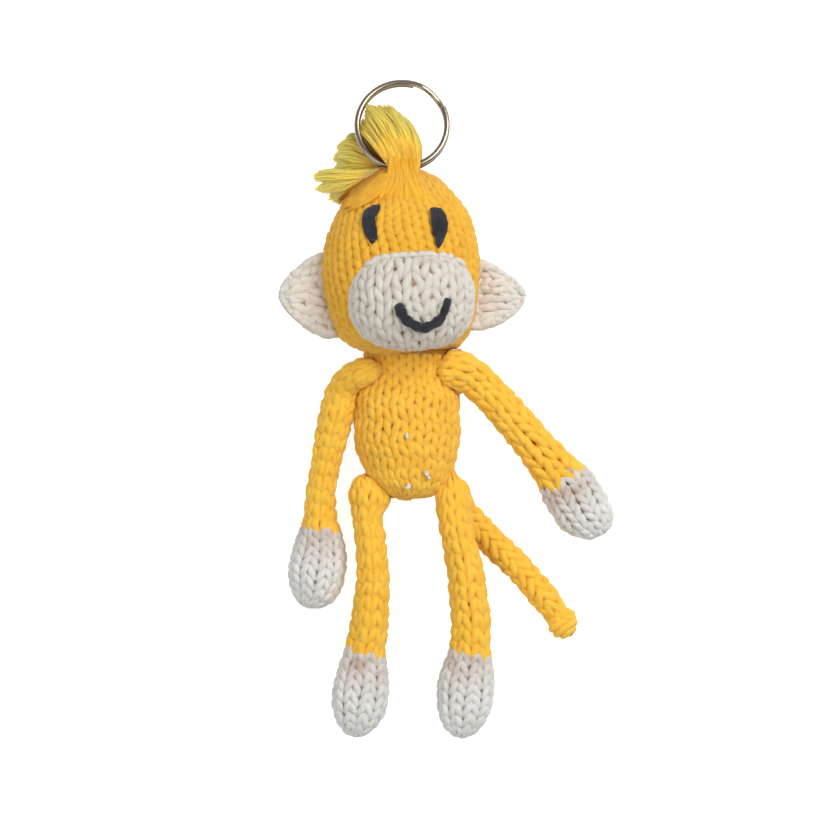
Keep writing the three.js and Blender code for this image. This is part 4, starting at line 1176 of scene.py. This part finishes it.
# %% Hanging loop
LOOP_TURNS = 9
LOOP_RADIUS = 3.75
LOOP_HALF_WIDTH = 3.1
LOOP_STEPS = 48
loop_middle = np.array(JOINTS["loop_swing"]["pos_m"])
draw = np.random.RandomState(7)
parts = []
for x in np.linspace(-LOOP_HALF_WIDTH, LOOP_HALF_WIDTH, LOOP_TURNS):
    turn = np.linspace(0, 2 * math.pi, LOOP_STEPS) + draw.uniform(0, 6)
    still = np.zeros(LOOP_STEPS)
    out = np.stack([still, np.cos(turn), np.sin(turn)], axis=1)
    sway = np.stack([0.25 * np.sin(turn + draw.uniform(0, 6)), still, still], axis=1)
    path = loop_middle + (out * LOOP_RADIUS + sway + at(x, 0, 0)) * MM
    parts.append(strands(path, np.full(LOOP_STEPS, draw.uniform(0.6, 0.75) * MM), out))
loop = mesh_piece("hanging_loop_yarn", parts)
dress(loop, HEAD_YELLOW, "yellow_knit", "loop", "hanging_loop")

# %% [markdown]
# From the tuft, unspun fibre is gathered over the front of the loop and down the crown, where it sinks in
# between the stitches. A few thick strands carry the shape and many fine ones lie over them, so it reads as
# one combed bundle.

# %% Gathered crown
GATHERS = 17
FIBRES = 110
GATHER_STEPS = 40
SKIN_AT_CROWN = 13.4 * MM


def gathered(share, seed, above=0.0):
    """One strand from the tuft over the loop and down the crown. Share is its place, from -1 to 1."""
    draw = np.random.RandomState(seed)
    over = LOOP_RADIUS + draw.uniform(0.9, 1.6) + above
    share = share + draw.uniform(-0.07, 0.07)
    first = draw.uniform(6, 9)
    points = [loop_middle + at(share * 2.9 - 0.6, first, -0.5) * MM]
    for turn in np.radians(np.linspace(draw.uniform(35, 60), 98, 5)):
        points.append(loop_middle + at(share * 3.3, over * math.cos(turn), over * math.sin(turn)) * MM)
    last = draw.uniform(-1.5, 1.5)
    for step, y in enumerate(np.linspace(-3.6, -9.5 + last, 6)):
        place = loop_middle + at(0.3 + share * (3.8 + 3.6 * (step / 5) ** 1.3), y, 0) * MM
        skin = on_top(head_skin, place[0], place[1])[0]
        low = SKIN_AT_CROWN if skin is None else skin[2]
        place[2] = low + (0.7 * (over - LOOP_RADIUS) + 0.4 - 2.0 * (step / 5) ** 3) * MM
        points.append(place)
    path = softened(evenly(np.array(points), GATHER_STEPS), 14)
    path[:, 0] += 0.3 * MM * np.sin(np.linspace(0, 5, GATHER_STEPS) + draw.uniform(0, 6))
    return path


def thicknesses(seed, thin, thick, count, first, last):
    """Half the thickness of many strands, which also changes from their first point to their last."""
    own = np.random.RandomState(seed).uniform(thin, thick, (count, 1))
    return own * MM * np.linspace(first, last, GATHER_STEPS)


thick_paths = np.array([gathered(share, 200 + i) for i, share in enumerate(np.linspace(-1, 1, GATHERS))])
fine_paths = np.array([gathered(share, 300 + i, 0.35) for i, share in enumerate(np.linspace(-1, 1, FIBRES))])
gathers = mesh_piece("crown_gathers", [
    strands(thick_paths, thicknesses(8, 0.4, 0.62, GATHERS, 0.6, 1.6), at(0, 0.3, 1), ridges=0.09),
    strands(fine_paths, thicknesses(9, 0.14, 0.3, FIBRES, 1, 0.8), at(0, 0.3, 1), 6, ridges=0),
])
dress(gathers, GOLDEN, "yellow_knit", "head")

# %% [markdown]
# The split ring is one steel wire wound twice, with a short step from the lower layer to the upper. It is
# made again from the sizes of the engineering model, in finer steps and with a rounded wire, so that its
# reflections run smoothly.

# %% Split ring
RING_RADIUS = 11.9 * MM
RING_LAYER = 1.65 * MM
RING_WIRE = 0.8 * MM
RING_STEPS = 400
STEP_AT, STEP_HALF, END_BACK = math.radians(50), math.radians(16), math.radians(24)


def split_ring():
    """Two turns of wire round the ring's own joint, stepped where the layers change."""
    joint = JOINTS["ring_spin"]
    middle, axis = np.array(joint["pos_m"]), np.array(joint["axis"])
    right = at(1, 0, 0)
    ahead = np.cross(axis, right)
    turn = np.linspace(STEP_AT + END_BACK, STEP_AT + 4 * math.pi - END_BACK, RING_STEPS)
    risen = np.clip((turn - STEP_AT - 2 * math.pi + STEP_HALF) / (2 * STEP_HALF), 0, 1)
    risen = risen * risen * (3 - 2 * risen) - 0.5
    out = np.cos(turn)[:, None] * right + np.sin(turn)[:, None] * ahead
    path = middle + out * RING_RADIUS + axis * (risen * RING_LAYER)[:, None]
    return mesh_piece("split_ring_wire", [strands(path, RING_WIRE, axis, 16, flat=0.75, ridges=0)])


def steel_material():
    """Nickel plate, a little warm, and smoother in some places than in others."""
    material, n = new_material("nickel plated steel", noise="TexNoise", rough="MapRange")
    links = ("noise", "Fac", "rough", "Value"), ("rough", "Result", "shader", "Roughness")
    wire(material.node_tree, n, *links)
    preset(n["noise"], {"Scale": 900.0})
    preset(n["rough"], {"To Min": 0.16, "To Max": 0.32})
    preset(n["shader"], {"Base Color": (0.33, 0.28, 0.215, 1), "Metallic": 1.0})
    return material


dress(split_ring(), steel_material(), "ring_steel", "ring", "split_ring")

# %% [markdown]
# The tuft is combed cotton fibre, not yet spun. It comes out of the crown in locks. Particle hair could
# make it too, but guide lines over an enlarged picture of the crown put each lock where it is, and the
# fibres fill the fan between them. Each fibre starts and ends at its own place, which gives the ragged
# tips.

# %% Fans of fibres
CROWN_CORNER = (286.8, 70.5)
CROWN_ZOOM = 7.32
LOCK_STEPS = 18


def crown(x, y):
    """The enlarged picture of the crown, in pixels of the whole photograph."""
    right, down = np.asarray(x, float) / CROWN_ZOOM, np.asarray(y, float) / CROWN_ZOOM
    return CROWN_CORNER[0] + right, CROWN_CORNER[1] + down


def smooth_line(points, count):
    """A smooth curve through a few points."""
    points = np.asarray(points, float)
    knots = np.linspace(0, 1, len(points))
    wanted = np.linspace(0, 1, count)
    coefficients = np.polyfit(knots, points.reshape(len(points), -1), len(points) - 1)
    powers = wanted[:, None] ** np.arange(len(points) - 1, -1, -1)
    return (powers @ coefficients).reshape(count, *points.shape[1:])


def fan(guides, place):
    """Curves between guide lines, one for each place from 0 to 1 across the fan."""
    places = [np.stack(photo(*crown(*np.array(guide).T)), axis=1) for guide in guides]
    lines = np.array([smooth_line(points, LOCK_STEPS) for points in places])
    first = np.minimum((place * (len(lines) - 1)).astype(int), len(lines) - 2)
    share = (place * (len(lines) - 1) - first)[:, None, None]
    share = share * share * (3 - 2 * share) * 0.3 + share * 0.7
    return lines[first] * (1 - share) + lines[first + 1] * share


def shortened(curves, begin, reach):
    """The stretch of each curve from its own begin to its own reach."""
    count, steps = curves.shape[:2]
    along = np.linspace(0, 1, steps)
    at_steps = np.minimum((begin + (reach - begin) * along) * (steps - 1), steps - 1.001)
    low = at_steps.astype(int)
    part = (at_steps - low)[..., None]
    rows = np.arange(count)[:, None]
    return curves[rows, low] * (1 - part) + curves[rows, low + 1] * part


# %% [markdown]
# A lock is such a fan with a height: it is thick in the middle, folded in soft waves, and lies on the head
# where the head is below it. Its tone runs from the root to the tip, for the material to read.

# %% Locks
def lock(
    guides, heights, count, seed, thick, wide, flat=0.1, rise=0, lying_on=None, ragged=0.3, folds=0.4,
    early=0.12, paler=(0, 0),
):
    """Fibres in a fan, with sizes in millimetres. Ragged is how unequal the tips are, and early the roots."""
    draw = np.random.RandomState(seed)
    along = np.linspace(0, 1, LOCK_STEPS)
    place = np.sort(draw.uniform(0, 1, count))
    scallops = 0.5 + 0.5 * np.sin(2 * math.pi * (3.3 * place[:, None] + draw.uniform()))
    reach = 1 - ragged * draw.uniform(0, 1, (count, 1)) ** 2 - 0.09 * scallops
    begin = early * draw.uniform(0, 1, (count, 1))
    spread = shortened(fan(guides, place), begin, reach)
    wave = 14 * place[:, None] + draw.normal(0, 0.7, (count, 1)) + along * draw.uniform(4, 6, (count, 1))
    spread = spread + np.stack([np.sin(wave), np.cos(wave * 1.3)], axis=2) * 0.4 * MM * along[None, :, None]
    arch = np.sin(math.pi * along)
    belly = np.sqrt(np.clip(1 - (2 * place - 1) ** 2, 0, 1))[:, None]
    level = draw.uniform(-0.5, 0.5, (count, 1)) * thick * MM * (0.3 + 0.7 * belly) * arch**0.4
    level = level + folds * 0.45 * MM * np.sin(2 * math.pi * 4.6 * place[:, None] + 2.5 * along) * arch
    height = np.interp(along, np.linspace(0, 1, len(heights)), heights)
    height = (height + np.convolve(np.pad(height, 2, "edge"), np.ones(5) / 5, "valid")) / 2
    height = height * MM + level + rise * belly * arch * MM
    if lying_on is not None:
        skins = [on_top(lying_on, *spread[i, j])[0] for i in range(count) for j in range(LOCK_STEPS)]
        skins = np.array([0 if skin is None else skin[2] for skin in skins]).reshape(count, LOCK_STEPS)
        height = np.maximum(height, skins + (0.6 * thick + rise * belly) * MM + level)
        height[:, 1:-1] = (height[:, :-2] + height[:, 1:-1] + height[:, 2:]) / 3
    paths = np.concatenate([spread, height[..., None]], axis=2)
    thin_ends = 0.3 + 0.7 * np.sin(math.pi * (0.12 + 0.83 * along))
    radius = wide * MM * draw.uniform(0.5, 1.2, (count, 1)) * thin_ends
    facing = draw.normal(0, 0.16, (count, 1, 3)) + at(0, 0, 1)
    paler = np.interp(place, [0, 1], paler)[:, None]
    tone = np.clip(along[None] + paler * along + draw.normal(0, 0.09, (count, 1)), 0, 1)
    return strands(paths, radius, facing, 6, depth=tone, flat=flat, ridges=0)


# %% [markdown]
# Combed fibre is golden at the root and pale lemon where it thins out, with light coming through it. The
# tips fade out, because there the fibres are too fine and too few to hide what is behind them.

# %% Combed fibre material
TONES = {0.25: (1.0, 0.69, 0.06, 1), 0.6: (1.0, 0.83, 0.13, 1)}


def fibre_material():
    """A ramp of yellows along the fibre, a little light through it, and clear tips."""
    material, n = new_material(
        "combed fibre", along="Attribute", ramp="ValToRGB", through="BsdfTranslucent", mix="MixShader",
        clear="BsdfTransparent", thin="MapRange", fade="MixShader",
    )
    n["along"].attribute_name = "depth"
    elements = n["ramp"].color_ramp.elements
    elements[0].color = (0.97, 0.53, 0.04, 1)
    elements[1].color = (1.0, 0.91, 0.28, 1)
    for place, colour in TONES.items():
        elements.new(place).color = colour
    preset(n["mix"], {0: 0.08})
    preset(n["thin"], {"From Min": 0.3, "To Max": 0.6})
    preset(n["shader"], {"Roughness": 0.6, "Sheen Weight": 0.5, "Sheen Roughness": 0.4})
    wire(
        material.node_tree, n, ("along", "Fac", "ramp", "Fac"), ("ramp", "Color", "shader", "Base Color"),
        ("ramp", "Color", "through", "Color"), ("shader", 0, "mix", 1), ("through", 0, "mix", 2),
        ("along", "Fac", "thin", "Value"), ("thin", "Result", "fade", 0), ("mix", 0, "fade", 1),
        ("clear", 0, "fade", 2), ("fade", 0, "end", "Surface"),
    )
    return material


FIBRE = fibre_material()

# %% [markdown]
# Three locks show: one stands up inside the ring, one leans left, and the fringe is swept down over the head.
# Each is built in three layers, as combed fibre lies: broad ribbons below, narrow ones over them, and single
# hairs that stray. The broad ribbons below are set more golden than the ones over them: painted shade, where
# they lie under the others. The points of the guides are pixels of the enlarged picture.

# %% Tuft, its guides
MAIN_GUIDES = [
    [(765, 745), (680, 610), (590, 500), (515, 420)],
    [(800, 750), (730, 570), (640, 400), (550, 290)],
    [(845, 755), (815, 540), (720, 360), (590, 236)],
    [(895, 755), (895, 540), (820, 360), (720, 254)],
    [(940, 750), (940, 580), (880, 420), (785, 282)],
    [(968, 745), (968, 580), (935, 450), (850, 345)],
]
SIDE_GUIDES = [
    [(800, 690), (640, 570), (540, 490), (450, 480)],
    [(780, 700), (600, 600), (460, 530), (380, 550)],
    [(770, 700), (570, 650), (440, 600), (345, 630)],
    [(760, 710), (560, 690), (430, 680), (340, 700)],
    [(750, 720), (560, 730), (450, 740), (345, 755)],
]
FRINGE_GUIDES = [
    [(750, 715), (560, 735), (400, 738), (172, 740)],
    [(745, 725), (520, 790), (350, 785), (178, 800)],
    [(740, 730), (505, 800), (370, 835), (205, 868)],
    [(740, 730), (500, 830), (400, 872), (262, 905)],
    [(735, 728), (535, 815), (430, 890), (322, 958)],
    [(735, 722), (560, 815), (452, 900), (372, 1008)],
]
OVER_GUIDES = [
    [(722, 708), (584, 786), (468, 868), (380, 962)],
    [(742, 735), (650, 845), (530, 930), (380, 1000)],
    [(755, 780), (700, 885), (600, 965), (440, 1030)],
]

# %% Tuft, its locks
MAIN_HEIGHTS = (15.3, 14.3, 9, 5.4)
SIDE_HEIGHTS = (8, 6.5, 4.6, 3.6)
FRINGE_HEIGHTS = (10, 10, 9, 7)
HAIRS = dict(thick=1.2, wide=0.07, flat=0.8, ragged=0.1)


def tuft(node, guides, *layers, **shared):
    """One lock of combed fibre in several layers, each with its heights, count, seed and other sizes."""
    fibres = mesh_piece(node + "_fibres", [lock(guides, **shared, **layer) for layer in layers])
    return dress(fibres, FIBRE, "combed_fibre", "head", node)


# In each lock the first layer, of broad ribbons below, is made more golden through paler: painted shade under
# the layers above.
tuft(
    "tuft_main", MAIN_GUIDES,
    dict(
        heights=(8, 6, 4.4, 3.4), count=260, seed=101, thick=0.6, wide=0.85, flat=0.08, rise=1,
        paler=(-0.6, -0.3),
    ),
    dict(
        heights=MAIN_HEIGHTS, count=570, seed=105, thick=0.5, wide=0.4, rise=1, early=0.26, folds=0.3,
        paler=(-0.4, 0.1),
    ),
    dict(heights=MAIN_HEIGHTS, count=100, seed=108, rise=1.2, **HAIRS),
)
tuft(
    "tuft_side", SIDE_GUIDES,
    dict(
        heights=(7, 5, 3.8, 3), count=260, seed=102, thick=0.6, wide=0.75, flat=0.08, paler=(-0.4, -0.4),
    ),
    dict(heights=SIDE_HEIGHTS, count=420, seed=106, thick=0.5, wide=0.34, folds=0.3),
    dict(heights=SIDE_HEIGHTS, count=80, seed=109, **HAIRS),
)
tuft(
    "tuft_fringe", FRINGE_GUIDES,
    dict(
        heights=(9, 9, 8, 6), count=260, seed=103, thick=0.7, wide=0.7, flat=0.08, ragged=0.2,
        paler=(-0.3, -0.3),
    ),
    dict(heights=FRINGE_HEIGHTS, count=420, seed=107, thick=0.6, wide=0.32, ragged=0.4, folds=0.3),
    dict(heights=FRINGE_HEIGHTS, count=80, seed=110, **HAIRS),
    lying_on=head_skin,
)

# %% [markdown]
# Between the fringe and the gathered crown, golden strands sweep over the top of the head. They are painted
# darkest at the edge that lies under the fringe, as painted shade, so this tone runs across them and not
# along.

# %% Strands over the head
OVER_COUNT = 240
SHADED_PART = 0.42
over_head = mesh_piece("tuft_over_the_head", [
    lock(
        OVER_GUIDES, (11, 12, 12, 10), OVER_COUNT, 104, thick=0.8, wide=0.3, flat=0.6, rise=2.0,
        lying_on=head_skin, ragged=0.1,
    ),
])
# Painted shade: the strands nearest the fringe get the darkest, gap colour.
shade = np.clip(np.linspace(0, 1, OVER_COUNT) / SHADED_PART, 0, 1)
shade = np.repeat(shade, len(over_head.data.vertices) // OVER_COUNT)
over_head.data.attributes["depth"].data.foreach_set("value", (-0.1 + 0.9 * shade).astype(np.float32))
dress(over_head, GOLDEN, "combed_fibre", "head")

# %% [markdown]
# The stuffing is white fibre packed into each piece. It follows the shape of the fabric round it, in soft
# lumps, so the skins that were noted down with each piece are all it takes.

# %% Stuffing
def stuffing_material():
    """White fibre, matt and matted."""
    material, n = new_material("white stuffing", noise="TexNoise", bump="Bump")
    wire(material.node_tree, n, ("noise", "Fac", "bump", "Height"), ("bump", "Normal", "shader", "Normal"))
    preset(n["noise"], {"Scale": 1200.0})
    preset(n["bump"], {"Distance": 0.4 * MM})
    preset(n["shader"], {"Base Color": (0.92, 0.90, 0.88, 1), "Roughness": 0.95})
    return material


STUFFING = stuffing_material()
for node, body, lump in STUFFED:
    piece = mesh_piece(node + "_fibre", [lump])
    dress(piece, STUFFING, "stuffing", body, node)

# %% [markdown]
# A little stuffing shows between the stitches of the belly. Each speck is four short curved fibres, pushed
# out through a gap. It is given by its pixel, half its length in millimetres and how it leans.

# %% Specks of stuffing
SPECKS = [(407, 436, 0.8, 0.2), (426.5, 473, 0.9, -0.5), (428.5, 476.5, 0.8, -0.4), (407.5, 486.5, 1.0, 0.9)]
SPECK_FIBRES = 4
SPECK_THICK = 0.34 * MM

torso_skin = outside_of("torso_cover")[0]
draw = np.random.RandomState(12)
across = np.linspace(-1, 1, 9)[:, None]
thin = SPECK_THICK * (0.4 + 0.6 * np.cos(np.linspace(-1.3, 1.3, 9)))
specks = []
for x, y, half_length, lean in SPECKS:
    point, facing = on_top(torso_skin, *photo(x, y))
    for _ in range(SPECK_FIBRES):
        turn = lean + draw.normal(0, 0.12)
        reach = across * half_length * draw.uniform(0.5, 1) * MM
        arch = (0.45 - 0.9 * across**2) * MM
        path = point + at(*draw.normal(0, 0.14, 2), 0) * MM + at(math.sin(turn), math.cos(turn), 0) * reach
        specks.append(strands(path + facing * (arch + 0.15 * MM), thin, facing, 8))
dress(mesh_piece("stuffing_specks", specks), WHITE, "stuffing", "torso")

# %% [markdown]
# The camera looks straight down, as the photographer did. A long lens from far away keeps the outline as it
# is, so an orthographic camera stands for it, and its width is that of the photograph.

# %% Camera
PHOTO_SIZE = 823
VIEW_WIDTH = 0.2181
VIEW_MIDDLE = at(1.19, 3.58) * MM
CAMERA_HEIGHT = 0.6

camera = add_object("camera", bpy.data.cameras.new("camera"))
camera.data.type = "ORTHO"
camera.data.ortho_scale = VIEW_WIDTH
camera.data.clip_end = 5
camera.location = (*VIEW_MIDDLE, CAMERA_HEIGHT)
scene = bpy.context.scene
scene.camera = camera
scene.render.resolution_x = PHOTO_SIZE
scene.render.resolution_y = PHOTO_SIZE
scene.render.resolution_percentage = 100
scene.view_settings.view_transform = "Standard"
print("camera sees", VIEW_WIDTH, "m")

# %% [markdown]
# A white table, pure white where the camera sees it directly or in the ring. A plain white material would
# turn grey there, so a glow is added for those rays only, and the object keeps its soft shadow.

# %% Table material
TABLE_GLOW = 0.8


def table_material():
    """Matt white, with a glow for the rays that come from the camera or off something shiny or clear."""
    material, n = new_material(
        "white table", path="LightPath", glow="Emission", add="AddShader", either="Math", any="Math",
        strength="Math",
    )
    n["either"].operation = "MAXIMUM"
    n["any"].operation = "MAXIMUM"
    n["strength"].operation = "MULTIPLY"
    preset(n["strength"], {1: TABLE_GLOW})
    preset(n["shader"], {"Base Color": (0.92, 0.92, 0.92, 1), "Roughness": 0.9})
    wire(
        material.node_tree, n, ("path", "Is Camera Ray", "either", 0), ("path", "Is Glossy Ray", "either", 1),
        ("either", 0, "any", 0), ("path", "Is Transmission Ray", "any", 1), ("any", 0, "strength", 0),
        ("strength", 0, "glow", "Strength"), ("shader", 0, "add", 0), ("glow", 0, "add", 1),
        ("add", 0, "end", "Surface"),
    )
    return material


# %% [markdown]
# The table itself is one large square, far wider than the object, so that its edge is never in view.

# %% Table top
TABLE_HALF = 4.0


def floor_piece():
    """The table as one large square."""
    mesh = bpy.data.meshes.new("table")
    corners = [(x * TABLE_HALF, y * TABLE_HALF, 0) for x, y in ((-1, -1), (1, -1), (1, 1), (-1, 1))]
    mesh.from_pydata(corners, [], [(0, 1, 2, 3)])
    mesh.materials.append(table_material())
    return add_object("table", mesh)


floor_piece()

# %% [markdown]
# Soft daylight. Most of it comes from the upper right, through a large window, and a weaker light from the
# left keeps the shadows open. The room round it is a faint warm white, and white where the camera sees it.

# %% Light
LIGHTS = {
    "window": dict(place=(0.5, 0.45, 0.8), size=0.7, power=7.9),
    "fill": dict(place=(-0.6, -0.3, 0.8), size=0.9, power=3.1),
}
ROOM_LIGHT = 0.38


def softbox(name, place, size, power):
    """A round area light that looks at the object. Place and size are in metres, and power is in watts."""
    light = add_object(name, bpy.data.lights.new(name, "AREA"))
    light.data.shape = "DISK"
    light.data.size = size
    light.data.energy = power
    light.location = place
    light.rotation_euler = (-Vector(place)).to_track_quat("-Z", "Y").to_euler()
    print("light:", name, power, "W")


def lit_room():
    """A world that lights faintly and that the camera sees as white."""
    world = bpy.data.worlds.new("room")
    world.use_nodes = True
    tree = world.node_tree
    n = {"room": tree.nodes["Background"], "end": tree.nodes["World Output"]}
    n.update(nodes_of(tree, white="Background", path="LightPath", pick="MixShader"))
    preset(n["room"], {"Color": (1.0, 0.99, 0.97, 1), "Strength": ROOM_LIGHT})
    preset(n["white"], {"Color": (1, 1, 1, 1)})
    wire(
        tree, n, ("path", "Is Camera Ray", "pick", 0), ("room", 0, "pick", 1), ("white", 0, "pick", 2),
        ("pick", 0, "end", "Surface"),
    )
    return world


for name, light in LIGHTS.items():
    softbox(name, **light)
scene.world = lit_room()
